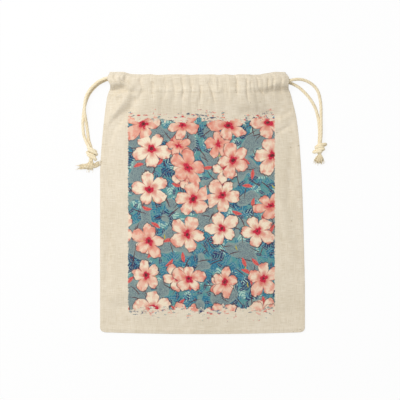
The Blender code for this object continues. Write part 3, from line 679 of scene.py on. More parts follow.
def smooth_path(route, spacing):
    """Points evenly spaced along one smooth curve through a route's own points."""
    stops = np.array(route, float)
    ends = np.vstack([2 * stops[0] - stops[1], stops, 2 * stops[-1] - stops[-2]])
    fine = []
    for a, b, c, d in zip(ends, ends[1:], ends[2:], ends[3:]):
        for u in np.arange(0, 1, 1 / 24):
            bend = (2 * a - 5 * b + 4 * c - d) * u**2 + (3 * b - a - 3 * c + d) * u**3
            fine.append(b + ((c - a) * u + bend) / 2)
    fine = np.array([*fine, stops[-1]])
    reached = travelled(fine)
    count = max(int(round(reached[-1] / spacing)), 2)
    wanted = np.linspace(0, reached[-1], count + 1)
    return np.stack([np.interp(wanted, reached, fine[:, axis]) for axis in range(3)], -1)


def ring_frames(points):
    """The two cross directions at each point of a path, carried along it without twist."""
    ways = np.gradient(points, axis=0)
    ways /= np.linalg.norm(ways, axis=1)[:, None]
    side = np.cross(ways[0], UP)
    if np.linalg.norm(side) < 1e-3:
        side = np.cross(ways[0], [0.0, 1.0, 0.0])
    sides = []
    for way in ways:
        side = side - way * np.dot(side, way)
        side = side / np.linalg.norm(side)
        sides.append(side)
    sides = np.array(sides)
    return sides, np.cross(ways, sides)


def tube(points, count, profile):
    """Places, faces and (along, round) places of a closed tube. profile(along, angle) gives its radius."""
    sides, ups = ring_frames(points)
    along = travelled(points)
    angle = np.arange(count) * 2 * math.pi / count
    radius = profile(along[:, None], angle[None, :]) * np.ones((len(points), count))
    around = sides[:, None] * np.cos(angle)[None, :, None] + ups[:, None] * np.sin(angle)[None, :, None]
    rings = points[:, None] + radius[..., None] * around
    places = np.vstack([rings.reshape(-1, 3), points[0], points[-1]])
    first, last = len(points) * count, len(points) * count + 1
    top = first - count
    faces, uv = [], []
    for i in range(len(points) - 1):
        for k in range(count):
            after = (k + 1) % count
            faces.append((i * count + k, i * count + after, (i + 1) * count + after, (i + 1) * count + k))
            u0, u1, v0, v1 = along[i], along[i + 1], k / count, (k + 1) / count
            uv += [(u0, v0), (u0, v1), (u1, v1), (u1, v0)]
    for k in range(count):
        after = (k + 1) % count
        faces += [(first, after, k), (last, top + k, top + after)]
        uv += [(along[0], 0.5), (along[0], (k + 1) / count), (along[0], k / count)]
        uv += [(along[-1], 0.5), (along[-1], k / count), (along[-1], (k + 1) / count)]
    return places, faces, uv


def strand_profile(radius, lay, groove):
    """The radius of a cord twisted from three strands."""
    def profile(along, angle):
        turned = 1.5 * angle - 3 * math.pi * along / lay
        return radius * (1 - groove * np.abs(np.sin(turned)) ** 3)
    return profile


def knot_strands(knot, cord):
    """The two strands that wrap round a knot side by side, as routes, and their radius."""
    centre, turn, long, wide, high, apart, tilt = knot
    turned = math.radians(turn)
    along = Vector((-math.sin(turned), math.cos(turned), 0))
    across = Vector((math.cos(turned), math.sin(turned), 0))
    strand = cord * 0.46
    reach_x, reach_z = wide / 2 - strand, high / 2 - strand
    turns, first_angle, seen_apart, steps = 1.7, -0.2 * math.pi, 0.588, 26
    beside = 1.9 * strand
    rise = (long - 2 * strand - beside) / seen_apart
    routes = []
    for k in (-0.5, 0.5):
        route = []
        for share in np.arange(steps + 1) / steps:
            angle = first_angle + 2 * math.pi * turns * share
            inward = min(smooth_step(share * 6), smooth_step((1 - share) * 6))
            girth = (0.35 + 0.65 * inward) * (0.84 + 0.16 * math.sin(math.pi * share))
            out, up = math.cos(angle) * reach_x * girth, math.sin(angle) * reach_z * girth
            y = (share - 0.5) * rise + beside * k + tilt * out
            route.append(Vector(centre) + along * y + across * (out + apart * k) + Vector(UP) * up)
        routes.append(route)
    return routes, strand


def fibres(line, half_width, half_height, count, radius, seed):
    """A frayed cord end: loose yarns round a soft core that start together and spread along a line."""
    rng = np.random.default_rng(seed)
    path = smooth_path(line, 0.0018)
    flat = np.cross(np.gradient(path, axis=0), UP)
    flat /= np.linalg.norm(flat, axis=1)[:, None]
    share = np.linspace(0, 1, len(path))
    core, core_end, bound = 0.0015, min(half_width, half_height) * 0.80, 0.0017
    total = travelled(path)[-1]

    def core_profile(along, angle):
        return core + (core_end - core) * smooth_step(along / total * 2)

    parts = [tube(path[:-1], 12, core_profile)]
    for _ in range(count):
        angle, out = rng.uniform(0, 2 * math.pi), math.sqrt(rng.uniform(0.15, 1))
        way = np.array([math.cos(angle), math.sin(angle)]) * out
        wave = rng.uniform(-1, 1, 4)
        reach = rng.uniform(0.80, 1.07) if rng.uniform() < 0.93 else rng.uniform(1.07, 1.30)
        at = np.clip(share * reach, 0, 1)
        centre = np.stack([np.interp(at, share, path[:, axis]) for axis in range(3)], -1)
        if reach > 1:
            centre += (path[-1] - path[-2])[None] * ((share * reach - 1).clip(0) * len(path))[:, None]
        spread = smooth_step(share, 0.12, 0.50)[:, None]
        offset = way * bound * (1 - spread) + way * [half_width, half_height] * spread
        offset = offset + np.stack([
            0.0007 * share * wave[0] * np.sin(share * 9 + wave[1] * 3),
            0.0004 * share * wave[2] * np.sin(share * 8 + wave[3] * 3),
        ], -1)
        points = centre + flat * offset[:, :1] + np.array(UP) * offset[:, 1:]
        points[:, 2] = np.maximum(points[:, 2], 2 * radius)
        parts.append(tube(points, 4, lambda along, angle: radius))
    return joined(parts)


# What the word after the dot sets in each kind of node
MODES = {
    "VectorMath": "operation", "Mix": "data_type", "MapRange": "interpolation_type",
    "VectorRotate": "rotation_type", "TexNoise": "noise_dimensions", "TexWhiteNoise": "noise_dimensions",
    "TexVoronoi": "voronoi_dimensions",
}


def add(tree, kind, *values, **settings):
    """Adds a node, gives the inputs that it shows links or values in order, and returns its first output.

    kind is the node's kind with its mode after a dot, or a Math operation. None leaves an input as it is.
    """
    kind, _, mode = kind.partition(".")
    if kind.isupper():
        made = tree.nodes.new("ShaderNodeMath")
        made.operation = kind
    else:
        made = tree.nodes.new("ShaderNode" + kind)
    if mode:
        setattr(made, MODES[kind], mode)
    for key, value in settings.items():
        setattr(made, key, value)
    for socket, value in zip([shown for shown in made.inputs if shown.enabled], values):
        if isinstance(value, bpy.types.NodeSocket):
            tree.links.new(value, socket)
        elif value is not None:
            socket.default_value = (*value, 1.0) if isinstance(value, Color) else value
    return next(shown for shown in made.outputs if shown.enabled)


def new_cotton(name, roughness, sheen=0.0, sheen_roughness=0.5):
    """Cotton: matt, with cellulose's refraction, a weak shine and the soft sheen of its loose fibres."""
    material = bpy.data.materials.new(name)
    material.use_nodes = True
    shader = material.node_tree.nodes["Principled BSDF"].inputs
    for socket, value in (
        ("Roughness", roughness), ("IOR", 1.47), ("Specular IOR Level", 0.25), ("Sheen Weight", sheen),
        ("Sheen Roughness", sheen_roughness),
    ):
        shader[socket].default_value = value
    return material, material.node_tree


def cover_with(tree, colour, height, strength, distance):
    """Gives the material its colour, and its small relief as a bump."""
    shader = tree.nodes["Principled BSDF"].inputs
    tree.links.new(colour, shader["Base Color"])
    tree.links.new(add(tree, "Bump", strength, distance, None, height), shader["Normal"])


def new_group(name, inputs, outputs):
    """A node group. Its Place is a vector, its Colour a colour, and its other sockets are numbers."""
    tree = bpy.data.node_groups.new(name, "ShaderNodeTree")
    for way, sockets in (("INPUT", inputs), ("OUTPUT", outputs)):
        for socket in sockets.split():
            kind = {"Place": "Vector", "Colour": "Color"}.get(socket, "Float")
            tree.interface.new_socket(socket, in_out=way, socket_type="NodeSocket" + kind)
    given, result = tree.nodes.new("NodeGroupInput"), tree.nodes.new("NodeGroupOutput")
    return tree, given.outputs, result.inputs


def scattered_places(tree, given, randomness):
    """Random cells: the way from the cell's middle in millimetres, two random shares, and if it is kept."""
    put = partial(add, tree)
    scaled = put("VectorMath.SCALE", given["Place"], put("DIVIDE", 1.0, given["Spacing"]))
    cells = put("TexVoronoi.2D", scaled, 1.0, None, None, None, randomness).node.outputs
    away = put("VectorMath.SUBTRACT", scaled, cells["Position"])
    away = put("VectorMath.SCALE", away, given["Spacing"])
    first, second, third = put("SeparateColor", cells["Color"]).node.outputs
    kept = put("LESS_THAN", put("TexWhiteNoise.2D", cells["Position"]), given["Kept"])
    turned = put("VectorRotate.Z_AXIS", away, None, put("MULTIPLY", first, 2 * math.pi))
    return turned, second, third, kept


def blossom_group(look):
    """Rounded blossoms with a crimson heart, each in its own random cell. Lengths are in millimetres."""
    petals, veins, tips = 5, 16.0, 9.0
    tree, given, result = new_group(
        "scattered_blossoms", "Place Spacing Radius Kept Warmth", "Mask Shadow Colour"
    )
    put = partial(add, tree)
    turned, second, third, kept = scattered_places(tree, given, 0.50)
    stretch = put("CombineXYZ", put("MULTIPLY_ADD", second, 0.30, 1.0), 1.0, 1.0)
    turned = put("VectorMath.MULTIPLY", turned, stretch)
    x, y, _ = put("SeparateXYZ", turned).node.outputs
    uneven = put("MULTIPLY_ADD", put("TexNoise.2D", given["Place"], 0.13, 2.0), 8.4, -4.2)
    out = put("ADD", put("VectorMath.LENGTH", turned), uneven)
    angle = put("ARCTAN2", y, x)
    size = put("MULTIPLY", given["Radius"], put("MULTIPLY_ADD", third, 0.26, 0.84))
    swirl = put("MULTIPLY", put("DIVIDE", out, size), put("SUBTRACT", third, 0.5))
    turn = put("MULTIPLY_ADD", angle, petals / 2, swirl)
    petal = put("ABSOLUTE", put("COSINE", turn))
    number = put("FLOORED_MODULO", put("ROUND", put("DIVIDE", turn, math.pi)), petals)
    own = put("TexWhiteNoise.1D", put("MULTIPLY_ADD", second, 91.0, number))
    reach = put("MULTIPLY", size, put("MULTIPLY_ADD", own, 0.26, 0.82))
    edge = put("MULTIPLY", reach, put("MULTIPLY_ADD", put("POWER", petal, 0.50), 0.62, 0.38))
    depth = put("DIVIDE", out, edge)
    gap = put("SUBTRACT", edge, out)

    patches = put("MapRange", put("TexNoise.2D", given["Place"], 0.12, 3.0), 0.40, 0.62)
    warm = put("MULTIPLY_ADD", own, 0.38, put("MULTIPLY", second, given["Warmth"]))
    warm = put("MapRange", put("ADD", put("MULTIPLY_ADD", patches, 0.62, warm), -0.58))
    rim = put("MapRange.SMOOTHSTEP", depth, 0.66, 1.0)
    seams = put("MapRange", petal, 0.0, 0.30, 0.85, 0.0)
    lines = put("ABSOLUTE", put("SINE", put("MULTIPLY", angle, veins)))
    lines = put("MapRange", lines, 0.0, 0.40, 0.60, 0.0)
    blush = put("MapRange.SMOOTHSTEP", depth, 0.24, 0.58, 0.75, 0.0)
    star = put("MULTIPLY", size, put("MULTIPLY_ADD", put("POWER", petal, 2.0), 0.05, 0.180))
    core = put("SUBTRACT", put("MULTIPLY", size, 0.07), out)
    ring = put("DIVIDE", put("ABSOLUTE", put("SUBTRACT", out, put("MULTIPLY", size, 0.36))), 0.60)
    dots = put("GREATER_THAN", put("COSINE", put("MULTIPLY", angle, tips)), 0.45)
    dots = put("MULTIPLY", put("LESS_THAN", ring, 1.0), dots)
    colour = put("Mix.RGBA", warm, look.cream, look.peach)
    for share, ink in (
        (put("MULTIPLY", rim, put("MULTIPLY_ADD", patches, 0.65, 0.12)), look.salmon),
        (put("MULTIPLY", seams, put("MULTIPLY", depth, 0.9)), look.salmon),
        (put("MULTIPLY", lines, put("SUBTRACT", 1.0, depth)), look.salmon),
        (blush, put("Mix.RGBA", 0.45, look.salmon, look.crimson)),
        (put("MapRange", put("SUBTRACT", star, out), -0.5, 0.3), look.crimson),
        (put("MapRange", core, -1.2, 0.6, 0.0, 0.9), look.heart),
        (put("MULTIPLY", dots, 0.30), look.pollen),
    ):
        colour = put("Mix.RGBA", share, colour, ink)
    inside = put("MapRange.SMOOTHSTEP", gap, -0.35, 0.35)
    near = put("MapRange.SMOOTHSTEP", gap, -2.4, -0.2)
    tree.links.new(put("MULTIPLY", inside, kept), result["Mask"])
    tree.links.new(put("MULTIPLY", near, kept), result["Shadow"])
    tree.links.new(colour, result["Colour"])
    return tree


def leaf_group():
    """Pointed leaves with a midrib, whole or split into leaflets, each in its own random cell."""
    leaflet_pitch = 4.4
    tree, given, result = new_group(
        "scattered_leaves", "Place Spacing Length Width Kept Split", "Mask Rib Tone"
    )
    put = partial(add, tree)
    turned, second, third, kept = scattered_places(tree, given, 1.0)
    long, wide, _ = put("SeparateXYZ", turned).node.outputs
    bow = put("DIVIDE", put("MULTIPLY_ADD", third, 0.6, -0.3), given["Length"])
    bend = put("MULTIPLY", put("MULTIPLY", long, long), bow)
    wide = put("ABSOLUTE", put("SUBTRACT", wide, bend))
    share = put("DIVIDE", long, given["Length"])
    rim = put("MULTIPLY", given["Width"], put("SUBTRACT", 1.0, put("MULTIPLY", share, share)))
    inside = put("MapRange", put("SUBTRACT", rim, wide), -0.12, 0.25)
    rib = put("MapRange", wide, 0.18, 0.50, 1.0, 0.0)
    slant = put("FRACT", put("DIVIDE", put("MULTIPLY_ADD", wide, 0.9, long), leaflet_pitch))
    slant = put("ABSOLUTE", put("SUBTRACT", slant, 0.5))
    leaflet = put("MapRange", slant, 0.25, 0.33, 1.0, 0.0)
    kept_cloth = put("MAXIMUM", put("MAXIMUM", rib, leaflet), put("SUBTRACT", 1.0, given["Split"]))
    side = put("MapRange", slant, 0.03, 0.12, 0.8, 0.0)
    tree.links.new(put("MULTIPLY", put("MULTIPLY", inside, kept_cloth), kept), result["Mask"])
    tree.links.new(put("MAXIMUM", rib, side), result["Rib"])
    tree.links.new(second, result["Tone"])
    return tree


def cotton_weave(tree, place, thread):
    """Plain weave: the height of its threads, and where thick soft yarns run across or down."""
    put = partial(add, tree)
    drift = put("TexNoise.2D", place, 0.11, 1.0).node.outputs["Color"]
    drift = put("VectorMath.SCALE", put("VectorMath.SUBTRACT", drift, (0.5, 0.5, 0.5)), 2.0)
    x, y, _ = put("SeparateXYZ", put("VectorMath.ADD", place, drift)).node.outputs
    warp, weft = (put("SINE", put("MULTIPLY", way, math.pi / thread)) for way in (x, y))
    threads = put("POWER", put("ABSOLUTE", put("MULTIPLY", warp, weft)), 0.5)
    yarns = []
    for stretch in ((0.085, 0.95, 1.0), (1.05, 0.065, 1.0)):
        yarns.append(put("TexNoise.2D", put("VectorMath.MULTIPLY", place, stretch), 1.0, 2.0))
    return threads, yarns


def canvas_colour(tree, place, threads, yarns, look):
    """Unbleached cotton: creamy yarn, painted shade in the hollows of the weave, soft pale slubs and bits of
    seed.
    """
    fleck_share, fleck_strength = 0.020, 0.55
    put = partial(add, tree)
    cloud = put("MapRange", put("TexNoise.2D", place, 0.028, 4.0, 0.6), 0.35, 0.65, 0.0, 0.30)
    colour = put("Mix.RGBA", cloud, look.cotton, look.shade)
    for yarn, strength in zip(yarns, (0.55, 0.42)):
        colour = put("Mix.RGBA", put("MapRange", yarn, 0.56, 0.74, 0.0, strength), colour, look.pale)
        colour = put("Mix.RGBA", put("MapRange", yarn, 0.44, 0.26, 0.0, strength), colour, look.shade)
    # Painted shade: the hollows between the threads are mixed towards the shade colour
    colour = put("Mix.RGBA", put("MapRange", threads, 0.45, 0.0, 0.0, 0.55), colour, look.shade)
    for stretch in ((0.10, 0.060, 1.0), (0.052, 0.11, 1.0)):
        cells = put("TexVoronoi.2D", put("VectorMath.MULTIPLY", place, stretch), 1.0).node.outputs
        chosen = put("LESS_THAN", put("TexWhiteNoise.2D", cells["Position"]), fleck_share)
        speck = put("MapRange", cells["Distance"], 0.040, 0.080, fleck_strength, 0.0)
        colour = put("Mix.RGBA", put("MULTIPLY", speck, chosen), colour, look.fleck)
    return colour


def print_colour(tree, place, look):
    """Ink of the print: foliage on grey-blue, thin stems, and blossoms in two layers."""
    put = partial(add, tree)

    def scattered(group, offset, *sizes):
        moved = put("VectorMath.ADD", place, (*offset, 0.0))
        return put("Group", moved, *sizes, node_tree=group).node.outputs

    leaves, blossoms = leaf_group(), blossom_group(look)
    zone = put("TexNoise.2D", place, 0.026, 1.0)
    lush = put("MapRange.SMOOTHSTEP", zone, 0.45, 0.48)
    mottle = put("TexNoise.2D", place, 0.24, 3.0)
    teal = put("MULTIPLY", lush, put("MapRange", mottle, 0.3, 0.6, 0.45, 1.0))
    colour = put("Mix.RGBA", teal, look.ground, look.teal)
    lines = put("ABSOLUTE", put("SUBTRACT", put("FRACT", put("MULTIPLY", mottle, 8.0)), 0.5))
    lines = put("MapRange", lines, 0.07, 0.22, 0.90, 0.0)
    etched = put("MapRange", zone, 0.41, 0.45, 1.0, 0.10)
    colour = put("Mix.RGBA", put("MULTIPLY", lines, etched), colour, look.navy)
    # Offset of the cells; their spacing, length, width, share kept and split; ink; strength of the ribs
    for offset, sizes, ink, ribs in (
        ((310, 140), (17.0, 10.5, 6.0, 1.0, 1.0), look.mint, 0.0),
        ((170, 420), (20.0, 13.0, 7.0, 0.72, 1.0), look.navy, 0.0),
        ((520, 260), (10.0, 6.5, 2.2, 0.92, 0.0), look.navy, 0.50),
    ):
        leaf = scattered(leaves, offset, *sizes)
        ink = put("Mix.RGBA", put("GREATER_THAN", leaf["Tone"], 0.55), ink, look.deep)
        ink = put("Mix.RGBA", put("MULTIPLY", leaf["Rib"], ribs), ink, look.mint)
        colour = put("Mix.RGBA", put("MULTIPLY", leaf["Mask"], lush), colour, ink)
    for offset, sizes, ink in (
        ((640, 75), (31.0, 15.0, 0.75, 0.90, 0.0), look.stem),
        ((35, 705), (24.0, 11.5, 0.65, 0.75, 0.0), look.stem),
        ((255, 815), (34.0, 4.5, 1.00, 0.50, 0.0), look.moss),
    ):
        colour = put("Mix.RGBA", scattered(leaves, offset, *sizes)["Mask"], colour, ink)
    bud = scattered(leaves, (830, 215), 29.0, 8.0, 2.8, 0.60, 0.0)
    colour = put("Mix.RGBA", bud["Mask"], colour, put("Mix.RGBA", bud["Rib"], look.salmon, look.crimson))
    large = look.blossom * MM
    # Offset of the cells; their spacing, radius, share kept and warmth
    for offset, sizes in (
        ((205, 330), (52.0, large * 0.78, 0.42, 1.30)),
        ((460, 515), (57.0, large, 0.92, 1.05)),
    ):
        flower = scattered(blossoms, offset, *sizes)
        colour = put("Mix.RGBA", put("MULTIPLY", flower["Shadow"], 0.80), colour, look.stem)
        colour = put("Mix.RGBA", flower["Mask"], colour, flower["Colour"])
    return colour


def print_cover(tree, place, look):
    """Where ink lies, with clean sides and ends that wear off in broken marks, and what is past the ends."""
    put = partial(add, tree)
    x, y, _ = put("SeparateXYZ", place).node.outputs
    rough, wave = put("TexNoise.2D", place, 0.30, 5.0, 0.7), put("TexNoise.2D", place, 0.055, 3.0, 0.7)
    side = put("MINIMUM", put("SUBTRACT", x, look.left * MM), put("SUBTRACT", look.right * MM, x))
    side = put("MapRange", put("ADD", side, put("MULTIPLY_ADD", rough, 6.0, -3.4)), -0.3, 0.7)
    end = put("MINIMUM", put("SUBTRACT", y, look.top * MM), put("SUBTRACT", look.bottom * MM, y))
    end = put("ADD", end, put("MULTIPLY_ADD", wave, 34.0, -17.5))
    streaks = put("TexNoise.2D", put("VectorMath.MULTIPLY", place, (0.12, 0.27, 1.0)), 1.0, 4.0, 0.7)
    reach = put("TexNoise.2D", put("VectorMath.MULTIPLY", place, (0.022, 0.0, 0.0)), 1.0, 1.0, 0.7)
    reach = put("MapRange", reach, 0.42, 0.58, 0.09, 0.0)
    outside = put("ADD", put("MapRange", end, -13.0, 0.0, 0.60, 0.46), reach)
    wear = put("SUBTRACT", outside, put("MapRange", end, -1.5, 4.0, 0.0, 0.35))
    ends = put("MapRange", put("SUBTRACT", streaks, wear), -0.02, 0.03)
    limit = put("MapRange", end, -17.0, -13.0)
    worn = put("MapRange", put("TexNoise.2D", place, 0.9, 2.0, 0.7), 0.68, 0.74, 1.0, 0.40)
    past = put("MapRange", end, -3.5, -0.5, 1.0, 0.0)
    return put("MULTIPLY", put("MULTIPLY", side, ends), put("MULTIPLY", limit, worn)), past


def stray_ink(tree, place, look):
    """Ink of the broken marks past the print's ends: bits of crimson, pink and navy."""
    choice = add(tree, "TexNoise.2D", add(tree, "VectorMath.MULTIPLY", place, (0.050, 0.13, 1.0)), 1.0, 1.0)
    ramp = add(tree, "ValToRGB", choice)
    bands = ramp.node.color_ramp
    bands.interpolation = "CONSTANT"
    steps = (
        (0.0, look.navy), (0.38, look.ground), (0.46, look.peach), (0.53, look.salmon),
        (0.57, look.crimson), (0.61, look.deep),
    )
    while len(bands.elements) < len(steps):
        bands.elements.new(0.5)
    for band, (position, ink) in zip(bands.elements, steps):
        band.position = position
        band.color = (*ink, 1.0)
    return ramp


def canvas(name, look, print_look=None):
    """Plain-woven unbleached cotton canvas: matt, softly fuzzy, with slubs and bits of seed."""
    ink_strength, ink_in_hollows = 0.985, 0.88
    material, tree = new_cotton(name, 0.88, 0.12)
    put = partial(add, tree)
    place = put("VectorMath.SCALE", put("UVMap", uv_map=FLAT_CLOTH), MM)
    threads, yarns = cotton_weave(tree, place, look.thread * MM)
    colour = canvas_colour(tree, place, threads, yarns, look)
    if print_look:
        cover, past = print_cover(tree, place, print_look)
        ink = print_colour(tree, place, print_look)
        ink = put("Mix.RGBA", past, ink, stray_ink(tree, place, print_look))
        cover = put("MULTIPLY", cover, ink_strength)
        cover = put("MULTIPLY", cover, put("MapRange", threads, 0.0, 0.5, ink_in_hollows, 1.0))
        colour = put("Mix.RGBA", cover, colour, ink)
    slubs = put("MapRange", put("MAXIMUM", *yarns), 0.45, 0.75)
    cover_with(tree, colour, put("MULTIPLY_ADD", slubs, 1.4, threads), 0.35, 0.00016)
    return material


def twisted_cotton(name, look, mapped):
    """Soft cotton cord: matt yarns laid in strands, with painted shade in the grooves between them."""
    yarns_round, yarns_along = 14.0, 620.0
    material, tree = new_cotton(name, 0.84, 0.15, 0.45)
    put = partial(add, tree)
    place = put("TexCoord").node.outputs["Object"]
    height = put("TexNoise", place, 900.0, 3.0)
    shade = put("MapRange", put("TexNoise", place, 160.0, 2.0), 0.35, 0.75, 0.0, 0.45)
    if mapped:
        along, around, _ = put("SeparateXYZ", put("UVMap", uv_map=CORD_MAP)).node.outputs
        # Painted shade in the grooves between the three strands, following their twist
        lobe = put("SUBTRACT", around, put("MULTIPLY", along, 1.0 / look.lay))
        groove = put("ABSOLUTE", put("SINE", put("MULTIPLY", lobe, 3 * math.pi)))
        shade = put("MULTIPLY_ADD", put("POWER", groove, 4.0), 0.35, shade, use_clamp=True)
        yarn = put("MULTIPLY_ADD", along, yarns_along, put("MULTIPLY", around, yarns_round))
        yarn = put("ABSOLUTE", put("SINE", put("MULTIPLY", yarn, math.pi)))
        height = put("ADD", height, yarn)
    cover_with(tree, put("Mix.RGBA", shade, look.cream, look.shade), height, 0.4, 0.00012)
    return material


def sewing_thread(look):
    """Spun cotton thread: matt, with a fine twist that is drawn coarse enough to show."""
    material, tree = new_cotton("spun_cotton_thread", 0.8)
    twist = add(tree, "TexNoise", add(tree, "TexCoord").node.outputs["Object"], 1500.0, 2.0)
    colour = add(tree, "Mix.RGBA", twist, look.thread_colour, look.shade)
    cover_with(tree, colour, twist, 0.3, 0.00006)
    return material


def seen_directly(tree):
    """1 for rays that the camera sends, also off or through a shiny piece, and 0 for light on its way."""
    path = add(tree, "LightPath").node.outputs
    seen = add(tree, "MAXIMUM", path["Is Camera Ray"], path["Is Glossy Ray"])
    return add(tree, "MAXIMUM", seen, path["Is Transmission Ray"])


def white_table():
    """Plain pale table that the camera sees white, with the bag's shadow kept."""
    material = bpy.data.materials.new("white_table")
    material.use_nodes = True
    tree = material.node_tree
    shader = tree.nodes["Principled BSDF"]
    shader.inputs["Base Color"].default_value = (*linear("F2F2F0"), 1.0)
    shader.inputs["Roughness"].default_value = 0.9
    share = add(tree, "MULTIPLY", seen_directly(tree), 0.90)
    blend = add(tree, "MixShader", share, shader.outputs[0], add(tree, "Emission", (1, 1, 1, 1), 1.0))
    tree.links.new(blend, tree.nodes["Material Output"].inputs["Surface"])
    return material


class BREAD_BAG_OT_stage(bpy.types.Operator):
    """Table, soft window light and the camera that looks straight down"""

    bl_idname = "bread_bag.stage"
    bl_label = "Stage"

    def execute(self, context):
        look = context.scene.bread_bag_stage
        context.scene.view_settings.view_transform = "Standard"
        deselect_all()
        bpy.ops.mesh.primitive_plane_add(size=6.0, location=(0, 0, 0))
        floor = context.object
        floor.name = "table"
        floor.data.materials.append(white_table())
        world = bpy.data.worlds.new("soft_sky")
        context.scene.world = world
        world.use_nodes = True
        tree = world.node_tree
        strength = add(tree, "MapRange", seen_directly(tree), 0.0, 1.0, look.sky, 1.0)
        tree.links.new(strength, tree.nodes["Background"].inputs["Strength"])
        tree.nodes["Background"].inputs["Color"].default_value = (1, 1, 1, 1)
        bpy.ops.object.light_add(type="AREA", location=(-0.90, 0.80, 1.75))
        key = context.object
        key.name = "window_light"
        key.data.size = 1.1
        key.data.energy = look.key_power
        key.rotation_euler = (-key.location).to_track_quat("-Z", "Y").to_euler()
        bpy.ops.object.camera_add(location=(look.view_x, look.view_y, look.view_height), rotation=(0, 0, 0))
        camera = context.object
        camera.name = "view_from_above"
        camera.data.sensor_width = 36.0
        camera.data.lens = camera.data.sensor_width * look.view_height / look.view_width
        context.scene.camera = camera
        deselect_all()
        return {"FINISHED"}


class BREAD_BAG_OT_panels(bpy.types.Operator):
    """The printed front panel and the plain back panel, gathered at the mouth"""

    bl_idname = "bread_bag.panels"
    bl_label = "Canvas panels"

    FRONT_COLUMNS, BACK_COLUMNS = 250, 110

    def execute(self, context):
        sizes, look = context.scene.bread_bag_sizes, context.scene.bread_bag_canvas
        bag = LyingBag(sizes)
        plain = canvas("unbleached_canvas", look)
        printed = canvas("printed_canvas", look, context.scene.bread_bag_print)
        front = add_panel("front_canvas", bag, True, self.FRONT_COLUMNS, [printed, plain])
        back = add_panel("back_canvas", bag, False, self.BACK_COLUMNS, [plain, plain])
        for panel, node, slot, under in (
            (front, "front_panel", "printed_canvas", "back_canvas"),
            (back, "back_panel", "plain_canvas", "table"),
        ):
            dress(panel, node)
        return {"FINISHED"}


class BREAD_BAG_OT_stitching(bpy.types.Operator):
    """Thread of the casing and of the side and bottom seams"""

    bl_idname = "bread_bag.stitching"
    bl_label = "Stitching"

    def execute(self, context):
        sizes = context.scene.bread_bag_sizes
        bag = LyingBag(sizes)
        thread = sewing_thread(context.scene.bread_bag_canvas)
        for name, stitches, girth in (
            ("casing_stitches", self.casing(bag), sizes.thread),
            ("seam_stitches", self.seams(bag), sizes.thread * 0.9),
        ):
            places, faces, _ = joined([capsule(*stitch, girth) for stitch in stitches])
            piece = add_mesh(name, places, faces, [thread])
            edit_mesh(piece, lambda mesh: bmesh.ops.recalc_face_normals(mesh, faces=mesh.faces))
            dress(piece)
        return {"FINISHED"}

    def casing(self, bag):
        """Stitches along both casings, each as its two ends and the way that it bulges."""
        s = bag.s
        first, sewn, line = 0.045, 0.91, s.width - 0.045
        count, half = int(line / s.stitch_step), s.stitch / 2 / line
        below, stitches = np.full(2, s.casing), []
        for height, lift in ((bag.front_outer, 1), (bag.back_outer, -1)):
            for middle in first + sewn * (np.arange(count) + 0.5) / count:
                share = np.array([middle - half, middle + half])
                x, y = bag.place(share, below)
                z = np.maximum(height(share, below) + lift * (s.cloth / 2 + s.thread * 0.35), s.thread)
                stitches.append((*np.stack([x, y, z], -1), (0, 0, lift)))
        return stitches

    def seams(self, bag):
        """Stitches over the side and bottom seams, from the back panel's fold up to the front panel's."""
        s, slant, out, stitches = bag.s, 0.0006, bag.fold * 0.95, []
        back, front = s.cloth / 2 + 1.7 * bag.fold, bag.front_seam - 2 * bag.fold
        for below in np.arange(s.casing + 0.004, s.height - s.corner - 0.002, 0.0034):
            for edge, share, side in zip(bag.side_edges(below), (0.0, 1.0), (-1, 1)):
                at = np.array([share]), np.array([below])
                x, y = edge + side * out, bag.place(*at)[1][0]
                top = bag.front_outer(*at)[0] - 1.5 * bag.fold
                stitches.append(((x, y - slant, back), (x, y + slant, top), (side, 0, 0)))
        for share in np.arange(0.03, 0.97, 0.0115):
            (x,), (y,) = bag.place(np.array([share]), np.array([s.height]))
            stitches.append(((x - slant, y - out, back), (x + slant, y - out, front), (0, -1, 0)))
        return stitches


